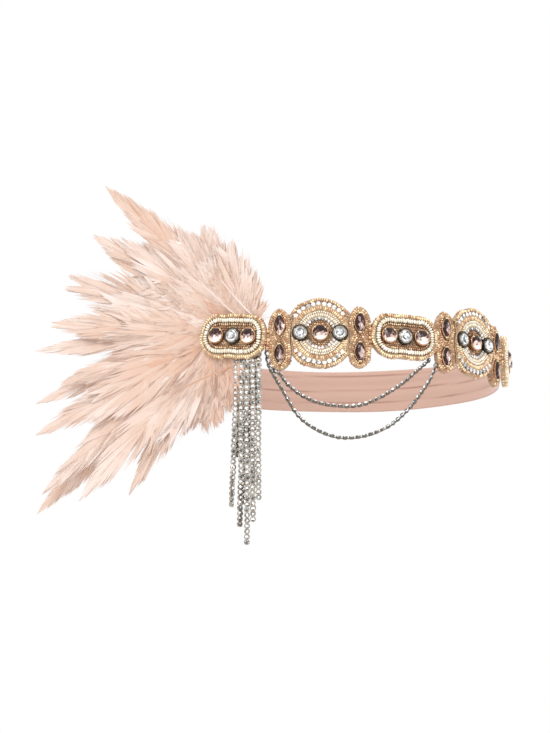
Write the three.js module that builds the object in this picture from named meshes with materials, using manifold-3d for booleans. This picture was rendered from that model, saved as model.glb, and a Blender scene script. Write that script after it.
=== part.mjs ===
// A flapper's feather headband: nine beaded ornaments joined in a run, a gathered elastic round the back,
// a fan of feathers and a tassel of stone chains at one side, and two chains that swag below the run.
// Millimetres, +Z up. The ring lies level with its middle at the origin, and -Y is the side that shows most.

import * as THREE from 'three';
import Module from 'manifold-3d';
import { mergeVertices } from 'three/addons/utils/BufferGeometryUtils.js';

const wasm = await Module();
wasm.setup();

// The loop that fits the head
const headLength = 195.5;
const headBreadth = 153.3;
const runCentre = 28.3;

// Clearances between pieces
const seatGap = 0.3;
const linkGap = 0.6;

// The elastic
const elasticHeight = 24.7;
const elasticThickness = 1.6;
const elasticFoldDepth = 0.9;
const elasticOverlap = 9;
const elasticSteps = 34;

// Beaded ornaments, seen from the front
const ovalLength = 40.4;
const ovalHeight = 25.2;
const ovalCornerRadius = 11.2;
const ovalBorderWidth = 2.1;
const pipingWidth = 2.7;
const pipingHeight = 2.8;
const pipingRounding = 0.85;
const roundDiameter = 40;
const roundTuck = 5;
const roundSides = 28;
const roundFloorShare = 0.4;
const columnWidth = 13;
const columnHeight = 35;
const columnLobeHeight = 10.4;
const ornamentStray = 3.6;
const leftOvalTilt = 6;
const backingThickness = 1.8;
const borderHeight = 1.2;

// Stones in their settings
const ovalStoneSpacing = 0.5;
const roundStoneDiameter = 9.6;
const roundSideStoneDiameter = 9.2;
const roundStonePitch = 11.1;
const stoneWall = 2.6;
const stoneCrown = 1.5;
const stoneBezel = 0.7;
const stoneSides = 10;
const stoneTableShare = 0.5;
const navetteLength = 13.6;
const navetteWidth = 7;
const navetteSpacing = 16.6;
const navetteHeight = 3.2;
const navetteCrown = 1.1;

// Feathers, on a pad behind the left oval
const padThickness = 2.4;
const padWidth = 25;
const padHeight = 14;
const padRise = 4;
const padShift = 1.5;
const featherThickness = 2;
const featherSides = 6;
const quillSpread = 7;
const featherReach = 150;
const featherBreadth = 34;
const fanDepth = 26;

// Stone chains
const strandDiameter = 2.4;
const strandPitch = 3.1;
const strandSides = 8;
const tasselDrop = 105;
const tasselInset = 13;
const tasselHeadTop = 8;
const tasselHeadHeight = 4;
const tasselHeadMargin = 0.8;
const swagDiameter = 2.4;
const upperSwagDrop = 41.6;
const lowerSwagDrop = 59.4;
const swagInset = 0.5;
const swagSteps = { upper: 16, lower: 22 };

const ringFacets = 720;
const halfLength = headLength / 2;
const halfBreadth = headBreadth / 2;

// The head oval as a list of distances walked from the middle of its shown side
function walkRing() {
  const walked = [0];
  for (let i = 1; i <= ringFacets; i += 1) {
    const before = ovalPlace((2 * Math.PI * (i - 1)) / ringFacets);
    const after = ovalPlace((2 * Math.PI * i) / ringFacets);
    walked.push(walked[i - 1] + before.distanceTo(after));
  }
  return walked;
}

function ovalPlace(angle) {
  return new THREE.Vector2(halfLength * Math.sin(angle), -halfBreadth * Math.cos(angle));
}

const ringWalk = walkRing();
const ringLength = ringWalk[ringFacets];

function ringAngle(distance) {
  const wrapped = THREE.MathUtils.euclideanModulo(distance, ringLength);
  let i = Math.floor((wrapped / ringLength) * ringFacets);
  while (ringWalk[i] > wrapped) i -= 1;
  while (ringWalk[i + 1] < wrapped) i += 1;
  const share = (wrapped - ringWalk[i]) / (ringWalk[i + 1] - ringWalk[i]);
  return (2 * Math.PI * (i + share)) / ringFacets;
}

// A place on the ring: a point this far out from the head, with the way along and the way out
function ringSpot(distance, out) {
  const angle = ringAngle(distance);
  const along = new THREE.Vector3(halfLength * Math.cos(angle), halfBreadth * Math.sin(angle), 0).normalize();
  const outward = new THREE.Vector3(along.y, -along.x, 0);
  const flat = ovalPlace(angle);
  const point = new THREE.Vector3(flat.x, flat.y, 0).addScaledVector(outward, out);
  return { point, along, outward };
}

class RingStretch extends THREE.Curve {
  constructor(from, to, out) {
    super();
    this.from = from;
    this.to = to;
    this.out = out;
  }

  getPoint(share, target = new THREE.Vector3()) {
    const distance = this.from + (this.to - this.from) * share;
    return target.copy(ringSpot(distance, this.out).point);
  }
}

// Booleans
function solidFrom(geometry) {
  const bare = geometry.clone();
  bare.deleteAttribute('normal');
  bare.deleteAttribute('uv');
  const welded = mergeVertices(bare, 1e-4);
  const mesh = new wasm.Mesh({
    numProp: 3,
    vertProperties: new Float32Array(welded.attributes.position.array),
    triVerts: new Uint32Array(welded.index.array),
  });
  return new wasm.Manifold(mesh);
}

function geometryFrom(solid) {
  const mesh = solid.getMesh();
  const geometry = new THREE.BufferGeometry();
  geometry.setAttribute('position', new THREE.BufferAttribute(new Float32Array(mesh.vertProperties), 3));
  geometry.setIndex(new THREE.BufferAttribute(new Uint32Array(mesh.triVerts), 1));
  geometry.computeVertexNormals();
  return geometry;
}

function fuse(geometries) {
  const solids = geometries.map(solidFrom);
  return geometryFrom(solids.reduce((whole, next) => whole.add(next)));
}

function cutAway(geometry, cutters) {
  const solids = cutters.map(solidFrom);
  return geometryFrom(solids.reduce((whole, next) => whole.subtract(next), solidFrom(geometry)));
}

// Outlines
function roundedOutline(length, height, radius, corner = 5) {
  const points = [];
  const turns = [[1, 1, 0], [-1, 1, 1], [-1, -1, 2], [1, -1, 3]];
  for (const [sideX, sideY, quarter] of turns) {
    const centre = new THREE.Vector2(sideX * (length / 2 - radius), sideY * (height / 2 - radius));
    for (let i = 0; i <= corner; i += 1) {
      const angle = (Math.PI / 2) * (quarter + i / corner);
      const spoke = new THREE.Vector2(Math.cos(angle), Math.sin(angle));
      points.push(spoke.multiplyScalar(radius).add(centre));
    }
  }
  return points;
}

function insetOval(inset) {
  return roundedOutline(ovalLength - 2 * inset, ovalHeight - 2 * inset, ovalCornerRadius - inset);
}

// Half the width of a two-lobed column at a height, slightly waisted at its middle
function columnHalfWidth(height, grow) {
  const lobeCentre = columnHeight / 2 - columnLobeHeight;
  const share = (Math.abs(height) - lobeCentre) / (columnLobeHeight + grow);
  return (columnWidth / 2 + grow) * Math.sqrt(Math.max(0, 1 - share * share));
}

function columnOutline(grow) {
  const right = [];
  const stations = 13;
  for (let i = 0; i <= stations; i += 1) {
    const height = -(columnHeight / 2 + grow) * Math.cos((Math.PI * i) / stations);
    right.push(new THREE.Vector2(columnHalfWidth(height, grow), height));
  }
  const left = right.slice(1, -1).reverse().map((point) => new THREE.Vector2(-point.x, point.y));
  return [...right, ...left];
}

function navetteOutline(grow) {
  const halfLong = navetteLength / 2;
  const halfWide = navetteWidth / 2;
  const radius = (halfLong * halfLong + halfWide * halfWide) / (2 * halfWide);
  const reach = Math.asin(halfLong / radius);
  const steps = 6;
  const points = [];
  for (const side of [1, -1]) {
    for (let i = 0; i < steps; i += 1) {
      const angle = side * (-reach + (2 * reach * i) / steps);
      const x = side * (radius * Math.cos(angle) - radius + halfWide);
      points.push(new THREE.Vector2(x, radius * Math.sin(angle)));
    }
  }
  const growth = new THREE.Vector2(1 + grow / halfWide, 1 + grow / halfLong);
  return points.map((point) => point.clone().multiply(growth));
}

function slab(outline, bottom, top) {
  const geometry = new THREE.ExtrudeGeometry(new THREE.Shape(outline), {
    depth: top - bottom, bevelEnabled: false, steps: 1,
  });
  return geometry.translate(0, 0, bottom);
}

// Materials
function plain(color, roughness, metalness) {
  return new THREE.MeshStandardMaterial({ color, roughness, metalness });
}

const goldBeads = () => plain(0xc9a56b, 0.35, 0.8);
const creamPiping = () => plain(0xe9dcc0, 0.45, 0.3);
const roseStone = () => plain(0xb07f72, 0.12, 0.2);
const clearStone = () => plain(0xe4e6e6, 0.08, 0.3);
const silverChain = () => plain(0xc4c4c6, 0.2, 0.9);
const rosePinkCloth = () => plain(0xd3a596, 0.85, 0);
const blushFeather = () => plain(0xf0cfbf, 0.9, 0);

function named(name, geometry, material) {
  const mesh = new THREE.Mesh(geometry, material);
  mesh.name = name;
  return mesh;
}

// The run of ornaments, from the feather side to the far side
const columnWaist = 2 * columnHalfWidth(0, 0);
const ovalPitch = ovalLength / 2 + columnWaist / 2 + linkGap;
const roundPitch = roundDiameter / 2 + columnWidth / 2 - roundTuck;
const halfRun = 2 * (ovalPitch + roundPitch);

const backing = elasticThickness + 2 * seatGap;
const raisedBacking = backing + padThickness + seatGap;
const rampBacking = (backing + raisedBacking) / 2;
const tasselShift = ovalLength / 2 - tasselInset;
const tasselHeadWidth = 4 * strandPitch + strandDiameter + 2 * tasselHeadMargin;

// stray is how far each piece sits off level, as a share of the largest such stray, and tilt is its turn
// from level in degrees
const run = [
  { kind: 'oval', name: 'oval_left', along: -halfRun, out: raisedBacking, stray: 0, tilt: -leftOvalTilt },
  { kind: 'column', name: 'column_1', along: -roundPitch * 2 - ovalPitch, out: rampBacking, stray: -1 },
  { kind: 'round', name: 'round_left', along: -roundPitch - ovalPitch, out: backing, stray: 0 },
  { kind: 'column', name: 'column_2', along: -ovalPitch, out: backing, stray: -0.58 },
  { kind: 'oval', name: 'oval_middle', along: 0, out: backing, stray: 0 },
  { kind: 'column', name: 'column_3', along: ovalPitch, out: backing, stray: -0.17 },
  { kind: 'round', name: 'round_right', along: ovalPitch + roundPitch, out: backing, stray: 0.72 },
  { kind: 'column', name: 'column_4', along: ovalPitch + roundPitch * 2, out: backing, stray: -0.36 },
  { kind: 'oval', name: 'oval_right', along: halfRun, out: backing, stray: 0.43 },
];

// A group at a place on the ring, with X along the ring, Y up and Z out from the head
function groupOnRing(item) {
  const spot = ringSpot(runCentre + item.along, item.out);
  const up = new THREE.Vector3(0, 0, 1);
  const group = new THREE.Group();
  group.position.copy(spot.point).addScaledVector(up, item.stray * ornamentStray);
  group.quaternion.setFromRotationMatrix(new THREE.Matrix4().makeBasis(spot.along, up, spot.outward));
  group.rotateZ(THREE.MathUtils.degToRad(item.tilt ?? 0));
  group.updateMatrix();
  return group;
}

// Behind the left oval, where the feathers and the tassel are sewn
const sideSeat = { along: -halfRun, out: backing, stray: 0 };

// A cut stone in its cup: table, ten crown facets, bezel and cup wall
function roundStone(name, diameter, material) {
  const radius = diameter / 2;
  const tableRadius = radius * stoneTableShare;
  const profile = [
    [0, 0],
    [radius - stoneBezel, 0],
    [radius, stoneBezel],
    [radius, stoneWall],
    [radius - stoneBezel, stoneWall],
    [tableRadius, stoneWall + stoneCrown],
    [0, stoneWall + stoneCrown],
  ];
  const geometry = new THREE.LatheGeometry(profile.map(([x, y]) => new THREE.Vector2(x, y)), stoneSides);
  return named(name, geometry.rotateX(Math.PI / 2), material);
}

function navetteStone(name) {
  const geometry = new THREE.ExtrudeGeometry(new THREE.Shape(navetteOutline(0)), {
    depth: navetteHeight - 2 * navetteCrown,
    steps: 1,
    bevelSegments: 1,
    bevelThickness: navetteCrown,
    bevelSize: navetteCrown,
    bevelOffset: -navetteCrown,
  });
  return named(name, geometry.translate(0, 0, navetteCrown), roseStone());
}

function stoneRow(prefix, pitch, middle, side, materials) {
  return [-1, 0, 1].map((step, index) => {
    const stone = roundStone(`${prefix}_stone_${index + 1}`, step === 0 ? middle : side, materials[index]);
    stone.position.set(step * pitch, 0, backingThickness + seatGap);
    return stone;
  });
}

function ovalOrnament(item) {
  const group = groupOnRing(item);
  const plate = slab(insetOval(0), 0, backingThickness + borderHeight);
  const well = slab(insetOval(ovalBorderWidth), backingThickness, backingThickness + 2 * borderHeight);
  group.add(named(`${item.name}_beadwork`, cutAway(plate, [well]), goldBeads()));

  const ring = new THREE.Shape(insetOval(ovalBorderWidth + seatGap));
  ring.holes.push(new THREE.Path(insetOval(ovalBorderWidth + seatGap + pipingWidth).reverse()));
  const piping = new THREE.ExtrudeGeometry(ring, {
    depth: pipingHeight - 2 * pipingRounding,
    steps: 1,
    bevelSegments: 1,
    bevelThickness: pipingRounding,
    bevelSize: pipingRounding,
    bevelOffset: -pipingRounding,
  });
  piping.translate(0, 0, backingThickness + seatGap + pipingRounding);
  group.add(named(`${item.name}_piping`, piping, creamPiping()));
  const opening = ovalLength - 2 * (ovalBorderWidth + seatGap + pipingWidth);
  const diameter = (opening - 2 * seatGap - 2 * ovalStoneSpacing) / 3;
  const stones = [roseStone(), clearStone(), roseStone()];
  group.add(...stoneRow(item.name, diameter + ovalStoneSpacing, diameter, diameter, stones));
  return group;
}

function columnOrnament(item) {
  const group = groupOnRing(item);
  const seats = [navetteSpacing / 2, -navetteSpacing / 2];
  const plate = slab(columnOutline(0), 0, backingThickness + borderHeight);
  const wells = seats.map((height) => {
    const well = slab(navetteOutline(seatGap), backingThickness, backingThickness + 2 * borderHeight);
    return well.translate(0, height, 0);
  });
  group.add(named(`${item.name}_beadwork`, cutAway(plate, wells), goldBeads()));
  ['upper', 'lower'].forEach((place, index) => {
    const stone = navetteStone(`${item.name}_stone_${place}`);
    stone.position.set(0, seats[index], backingThickness + seatGap);
    group.add(stone);
  });
  return group;
}

// The beaded rings of a round ornament, from its edge to its middle, as shares of its radius
const roundRings = [
  { name: 'bead border', outer: 1, inner: 0.92, rise: 1 },
  { name: 'crystal crescent', outer: 0.91, inner: 0.83, rise: 0.45 },
  { name: 'bugle ring', outer: 0.82, inner: 0.67, rise: 1.35 },
  { name: 'crystal ring', outer: 0.64, inner: 0.42, rise: 1.15 },
];

function roundOrnament(item, neighbours) {
  const group = groupOnRing(item);
  const radius = roundDiameter / 2;
  const profile = [[0, 0], [radius, 0]];
  for (const ring of roundRings) {
    const height = backingThickness + borderHeight * ring.rise;
    profile.push([radius * ring.outer, height], [radius * ring.inner, height]);
  }
  profile.push([radius * roundFloorShare, backingThickness], [0, backingThickness]);
  const disc = new THREE.LatheGeometry(profile.map(([x, y]) => new THREE.Vector2(x, y)), roundSides);
  disc.rotateX(Math.PI / 2);

  const bites = neighbours.map((neighbour) => {
    const bite = slab(columnOutline(seatGap), -roundTuck, 2 * roundTuck);
    const side = groupOnRing(neighbour);
    return bite.applyMatrix4(side.matrix).applyMatrix4(group.matrix.clone().invert());
  });
  const pockets = [-1, 0, 1].map((step) => {
    const stone = step === 0 ? roundStoneDiameter : roundSideStoneDiameter;
    const radiusHere = stone / 2 + seatGap;
    const pocket = new THREE.CylinderGeometry(radiusHere, radiusHere, roundTuck, 2 * stoneSides);
    return pocket.rotateX(Math.PI / 2).translate(step * roundStonePitch, 0, backingThickness + roundTuck / 2);
  });
  group.add(named(`${item.name}_beadwork`, cutAway(disc, [...bites, ...pockets]), goldBeads()));
  const stones = [clearStone(), roseStone(), clearStone()];
  group.add(...stoneRow(item.name, roundStonePitch, roundStoneDiameter, roundSideStoneDiameter, stones));
  return group;
}

// The elastic's folds across its height: each row is a share of the height and how far out the crease stands
const elasticFolds = [
  { height: -0.5, out: 0 },
  { height: -0.3, out: 1 },
  { height: -0.1, out: 0.1 },
  { height: 0.12, out: 0.9 },
  { height: 0.3, out: 0 },
  { height: 0.5, out: 0.7 },
];

function elasticBand() {
  const start = runCentre + halfRun - elasticOverlap;
  const end = runCentre + ringLength - halfRun + elasticOverlap;
  const wall = elasticThickness - elasticFoldDepth;
  const outer = elasticFolds.map((fold) => {
    return new THREE.Vector2(fold.height * elasticHeight, -wall - fold.out * elasticFoldDepth);
  });
  const inner = elasticFolds.map((fold) => {
    return new THREE.Vector2(fold.height * elasticHeight, -fold.out * elasticFoldDepth);
  });
  const section = new THREE.Shape([...outer, ...inner.reverse()]);
  const geometry = new THREE.ExtrudeGeometry(section, {
    steps: elasticSteps,
    bevelEnabled: false,
    extrudePath: new RingStretch(start, end, 0),
  });
  return named('elastic_band', geometry, rosePinkCloth());
}

// The fan: angle up from straight back, length and breadth as shares of the longest and broadest feather,
// lean as a share of the fan's depth, and droop of the tip as a share of its own length
const feathers = [
  { angle: 84, length: 0.3, breadth: 0.62, lean: 0.2, droop: 0.02 },
  { angle: 77, length: 0.41, breadth: 0.8, lean: 0.75, droop: 0.03 },
  { angle: 66, length: 0.5, breadth: 0.95, lean: 0.35, droop: 0.02 },
  { angle: 55, length: 0.57, breadth: 0.95, lean: 0.6, droop: 0.02 },
  { angle: 50, length: 0.82, breadth: 0.72, lean: 0.5, droop: 0.05 },
  { angle: 36, length: 0.75, breadth: 0.85, lean: 0.15, droop: 0.03 },
  { angle: 40, length: 0.62, breadth: 0.9, lean: 0.7, droop: 0.03 },
  { angle: 21, length: 0.76, breadth: 1, lean: 0.4, droop: 0.03 },
  { angle: 7, length: 0.74, breadth: 0.95, lean: 0.8, droop: 0.02 },
  { angle: 1, length: 0.83, breadth: 0.75, lean: 0.3, droop: 0.03 },
  { angle: -9, length: 0.71, breadth: 0.95, lean: 0.65, droop: 0.04 },
  { angle: -12, length: 0.85, breadth: 0.7, lean: 0.1, droop: 0.04 },
  { angle: -22, length: 0.84, breadth: 0.95, lean: 0.85, droop: 0.05 },
  { angle: -33, length: 0.94, breadth: 0.8, lean: 0.45, droop: 0.08 },
  { angle: -34, length: 1.02, breadth: 0.8, lean: 0.05, droop: 0.08 },
  { angle: -43, length: 0.84, breadth: 0.9, lean: 0.7, droop: 0.07 },
  { angle: -52, length: 0.71, breadth: 0.7, lean: 0.25, droop: 0.08 },
  { angle: -57, length: 0.47, breadth: 0.8, lean: 0.8, droop: 0.04 },
  { angle: -64, length: 0.36, breadth: 0.62, lean: 0.4, droop: 0.03 },
];

// A feather's half width along its length, as shares of its length and breadth
const featherOutline = [
  { along: 0, half: 0 },
  { along: 0.02, half: 0.14 },
  { along: 0.14, half: 0.3 },
  { along: 0.32, half: 0.5 },
  { along: 0.52, half: 0.45 },
  { along: 0.7, half: 0.24 },
  { along: 0.85, half: 0.11 },
  { along: 1, half: 0 },
];

// One feather as a thin leaf, lying flat over the pad and lifting and drooping towards its tip
function featherBlade(row) {
  const length = row.length * featherReach;
  const breadth = row.breadth * featherBreadth;
  const profile = featherOutline.map((station) => {
    return new THREE.Vector2(station.half * breadth, station.along * length);
  });
  const blade = new THREE.LatheGeometry(profile, featherSides);
  blade.rotateZ(Math.PI / 2);
  blade.scale(1, 1, featherThickness / breadth);
  const corners = blade.attributes.position;
  for (let i = 0; i < corners.count; i += 1) {
    const reach = -corners.getX(i);
    const free = Math.max(0, (reach - padWidth) / (featherReach - padWidth));
    corners.setY(i, corners.getY(i) - (row.droop * reach * reach) / length);
    corners.setZ(i, corners.getZ(i) + row.lean * fanDepth * Math.pow(free, 1.5));
  }
  const angle = THREE.MathUtils.degToRad(row.angle);
  blade.rotateZ(-angle);
  return blade.translate(quillSpread * Math.sin(angle), 0, padThickness / 2);
}

function featherPlume() {
  const group = groupOnRing(sideSeat);
  const pad = new THREE.BoxGeometry(padWidth, padHeight, padThickness);
  pad.translate(padShift, 0, padThickness / 2);
  const plume = fuse([pad, ...feathers.map(featherBlade)]);
  plume.translate(0, padRise, 0);
  group.add(named('feather_plume', plume, blushFeather()));
  return group;
}

// The tassel's strands from the feather side on: each strand's place and the drift of its end, counted in
// pitches, and its length as a share of the longest
const tasselStrands = [
  { place: -2, drop: 0.79, drift: -0.75 },
  { place: -1, drop: 0.9, drift: -0.3 },
  { place: 0, drop: 1, drift: -0.1 },
  { place: 1, drop: 0.88, drift: 0 },
  { place: 2, drop: 0.765, drift: 0 },
];

function tube(curve, diameter, steps) {
  const section = new THREE.Shape();
  const corners = [];
  for (let i = 0; i < strandSides; i += 1) {
    const angle = (2 * Math.PI * (i + 0.5)) / strandSides;
    corners.push(new THREE.Vector2((diameter / 2) * Math.cos(angle), (diameter / 2) * Math.sin(angle)));
  }
  section.setFromPoints(corners);
  return new THREE.ExtrudeGeometry(section, { steps, bevelEnabled: false, extrudePath: curve });
}

function chainTassel() {
  const group = groupOnRing(sideSeat);
  const head = new THREE.BoxGeometry(tasselHeadWidth, tasselHeadHeight, padThickness);
  head.translate(tasselShift, -tasselHeadTop - tasselHeadHeight / 2, padThickness / 2);
  const strands = tasselStrands.map((row) => {
    const x = tasselShift + row.place * strandPitch;
    const top = -tasselHeadTop - tasselHeadHeight / 2;
    const end = -tasselHeadTop - tasselHeadHeight - row.drop * tasselDrop;
    const middle = (top + end) / 2;
    const route = new THREE.CatmullRomCurve3([
      new THREE.Vector3(x, top, padThickness / 2),
      new THREE.Vector3(x + (row.drift * strandPitch) / 3, middle, padThickness / 2),
      new THREE.Vector3(x + row.drift * strandPitch, end, padThickness / 2),
    ]);
    return tube(route, strandDiameter, 4);
  });
  group.add(named('chain_tassel', fuse([head, ...strands]), silverChain()));
  return group;
}

// The two chains: the upper hangs from under the first column to under the middle oval's far end, and the
// lower from beside the tassel's head to the third column. Each row is a share of the way along between
// those two ends, and a share of the chain's drop.
const swags = {
  upper: {
    start: -roundPitch * 2 - ovalPitch - swagInset,
    end: ovalLength / 2 - ovalCornerRadius / 2 + swagInset,
    drop: upperSwagDrop,
    rows: [
      { along: 0, fall: 0.55 }, { along: 0.055, fall: 0.704 }, { along: 0.155, fall: 0.868 },
      { along: 0.274, fall: 0.971 }, { along: 0.416, fall: 1 }, { along: 0.508, fall: 0.983 },
      { along: 0.584, fall: 0.933 }, { along: 0.671, fall: 0.839 }, { along: 0.749, fall: 0.731 },
      { along: 0.821, fall: 0.623 }, { along: 0.894, fall: 0.488 }, { along: 1, fall: 0.293 },
    ],
  },
  lower: {
    start: -halfRun + tasselShift + tasselHeadWidth / 2 + swagDiameter / 2 + linkGap,
    end: ovalPitch - columnWidth / 2 + swagInset,
    drop: lowerSwagDrop,
    rows: [
      { along: 0, fall: 0.11 }, { along: 0.006, fall: 0.217 }, { along: 0.022, fall: 0.32 },
      { along: 0.094, fall: 0.535 }, { along: 0.18, fall: 0.778 }, { along: 0.287, fall: 0.926 },
      { along: 0.423, fall: 1 }, { along: 0.576, fall: 0.97 }, { along: 0.711, fall: 0.862 },
      { along: 0.83, fall: 0.68 }, { along: 0.919, fall: 0.493 }, { along: 0.975, fall: 0.35 },
      { along: 1, fall: 0.246 },
    ],
  },
};

function chainSwag(place) {
  const out = backing + swagDiameter / 2 + seatGap / 2;
  const swag = swags[place];
  const points = swag.rows.map((row) => {
    const along = swag.start + (swag.end - swag.start) * row.along;
    const point = ringSpot(runCentre + along, out).point;
    point.z = -row.fall * swag.drop;
    return point;
  });
  const route = new THREE.CatmullRomCurve3(points);
  return named(`chain_swag_${place}`, tube(route, swagDiameter, swagSteps[place]), silverChain());
}

const makers = { oval: ovalOrnament, column: columnOrnament, round: roundOrnament };

const group = new THREE.Group();
run.forEach((item, index) => {
  const neighbours = [run[index - 1], run[index + 1]];
  group.add(makers[item.kind](item, neighbours));
});
group.add(elasticBand());
group.add(featherPlume());
group.add(chainTassel());
group.add(chainSwag('upper'));
group.add(chainSwag('lower'));

export default group;
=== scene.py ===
"""A beaded feather headband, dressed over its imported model.

Metres, +Z up. The headband's loop lies level round the origin, and -Y is the side that shows most. On each
ornament, the local frame has X along the run, Y up and Z out from the head. Tables are in millimetres.
"""

import math
from collections import namedtuple

import bmesh
import bpy
import numpy as np
from mathutils import Matrix, Vector


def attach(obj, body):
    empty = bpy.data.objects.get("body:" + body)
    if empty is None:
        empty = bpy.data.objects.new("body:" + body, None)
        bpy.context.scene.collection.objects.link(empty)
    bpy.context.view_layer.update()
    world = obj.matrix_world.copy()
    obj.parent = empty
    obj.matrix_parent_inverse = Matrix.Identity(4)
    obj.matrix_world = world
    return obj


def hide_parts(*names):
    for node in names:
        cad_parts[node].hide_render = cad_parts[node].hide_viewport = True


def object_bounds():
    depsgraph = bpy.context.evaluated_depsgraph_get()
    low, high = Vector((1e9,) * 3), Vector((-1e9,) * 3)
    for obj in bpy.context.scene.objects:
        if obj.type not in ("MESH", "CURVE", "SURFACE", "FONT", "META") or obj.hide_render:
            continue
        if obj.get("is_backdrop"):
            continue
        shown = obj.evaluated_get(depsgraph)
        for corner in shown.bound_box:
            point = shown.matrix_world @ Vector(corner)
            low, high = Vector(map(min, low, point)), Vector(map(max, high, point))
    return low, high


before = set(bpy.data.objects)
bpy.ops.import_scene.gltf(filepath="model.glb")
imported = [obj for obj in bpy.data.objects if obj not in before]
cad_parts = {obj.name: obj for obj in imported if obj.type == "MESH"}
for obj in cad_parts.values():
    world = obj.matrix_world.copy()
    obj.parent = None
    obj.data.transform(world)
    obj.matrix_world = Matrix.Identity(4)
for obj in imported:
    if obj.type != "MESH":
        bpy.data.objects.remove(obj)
cad_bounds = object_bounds()

bl_info = {
    "name": "Beaded Feather Headband",
    "version": (1, 0, 0),
    "blender": (4, 5, 0),
    "location": "View3D > Sidebar > Headband",
    "description": "Dresses a headband with beads, stones, chains, velvet elastic and a fan of feathers",
    "category": "Object",
}

MM = 0.001


def length(label, description, millimetres):
    """A size that a user may change, kept in metres."""
    return bpy.props.FloatProperty(
        name=label,
        description=description,
        default=millimetres * MM,
        precision=5,
        subtype="DISTANCE",
        unit="LENGTH",
    )


def linear(channel):
    """One channel of a screen colour from 0 to 255, as the amount of light it stands for."""
    share = channel / 255
    if share <= 0.04045:
        return share / 12.92
    return ((share + 0.055) / 1.055) ** 2.4


def colour(label, description, red, green, blue):
    """A colour that a user may change, given as it looks on a screen."""
    return bpy.props.FloatVectorProperty(
        name=label,
        description=description,
        default=(linear(red), linear(green), linear(blue)),
        size=3,
        min=0,
        max=1,
        subtype="COLOR",
    )


class HeadbandSizes(bpy.types.PropertyGroup):
    """Sizes of the headband's pieces."""

    head_length: length("Head length", "The loop from side to side", 195.5)
    head_breadth: length("Head breadth", "The loop from front to back", 153.3)
    run_centre: length("Run centre", "How far round the loop the middle oval sits", 28.3)
    elastic_height: length("Elastic height", "The elastic from edge to edge", 24.7)
    elastic_wall: length("Elastic wall", "Thickness of the velvet elastic", 0.7)
    elastic_fold: length("Fold depth", "How far the elastic's creases stand out", 0.9)
    elastic_thickness: length("Elastic thickness", "The elastic with its folds", 1.6)
    elastic_overlap: length("Overlap", "How far the elastic runs behind each end oval", 9)
    seat_gap: length("Seat gap", "Clearance between one piece and the next", 0.3)
    link_gap: length("Link gap", "Clearance between neighbouring ornaments", 0.6)
    oval_length: length("Oval length", "An oval ornament along the run", 40.4)
    oval_height: length("Oval height", "An oval ornament from top to bottom", 25.2)
    oval_corner: length("Oval corner", "Radius of the oval's rounded ends", 11.2)
    oval_border: length("Oval border", "Width of the gold border", 2.1)
    piping_width: length("Piping width", "Width of the cream beaded ring", 2.7)
    round_diameter: length("Round diameter", "A round ornament", 40)
    round_tuck: length("Round tuck", "How far a column bites into a round", 5)
    column_width: length("Column width", "A two-lobed column along the run", 13)
    column_height: length("Column height", "A two-lobed column from top to bottom", 35)
    column_lobe: length("Column lobe", "Half the height of one lobe", 10.4)
    stray: length("Stray", "How far an ornament may sit off level", 3.6)
    stone_spacing: length("Stone spacing", "Gap between the stones of an oval", 0.5)
    round_stone: length("Round's middle stone", "Diameter of a round's middle stone", 9.6)
    round_side_stone: length("Round's side stones", "Diameter of a round's side stones", 9.2)
    round_stone_pitch: length("Round stone pitch", "From one stone of a round to the next", 11.1)
    navette_length: length("Navette length", "A pointed stone from tip to tip", 13.6)
    navette_width: length("Navette width", "A pointed stone across", 7)
    navette_spacing: length("Navette spacing", "From the upper pointed stone to the lower", 16.6)
    pad_thickness: length("Pad thickness", "The pad that the feathers are sewn to", 2.4)
    pad_width: length("Pad width", "The pad along the run", 25)
    pad_rise: length("Pad rise", "The pad above the oval's middle", 4)
    quill_spread: length("Quill spread", "How far apart the feathers leave the pad", 7)
    feather_reach: length("Feather reach", "The longest feather", 150)
    feather_breadth: length("Feather breadth", "The broadest feather", 34)
    fan_depth: length("Fan depth", "How far the foremost feather leans out", 26)
    strand_pitch: length("Strand pitch", "From one strand of the tassel to the next", 3.5)
    tassel_drop: length("Tassel drop", "The tassel's longest strand", 105)
    tassel_shift: length("Tassel shift", "The tassel's middle from the oval's middle", 7.2)
    upper_drop: length("Upper swag's drop", "Lowest point of the upper chain", 41.6)
    lower_drop: length("Lower swag's drop", "Lowest point of the lower chain", 59.4)
    swag_pitch: length("Swag pitch", "From one stone of a swag to the next", 3.7)
    swag_stone: length("Swag stone", "Width of a swag's cups", 2.1)
    tassel_pitch: length("Tassel pitch", "From one stone of a strand to the next", 3.0)
    tassel_stone: length("Tassel stone", "Width of a strand's cups", 3.45)


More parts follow.
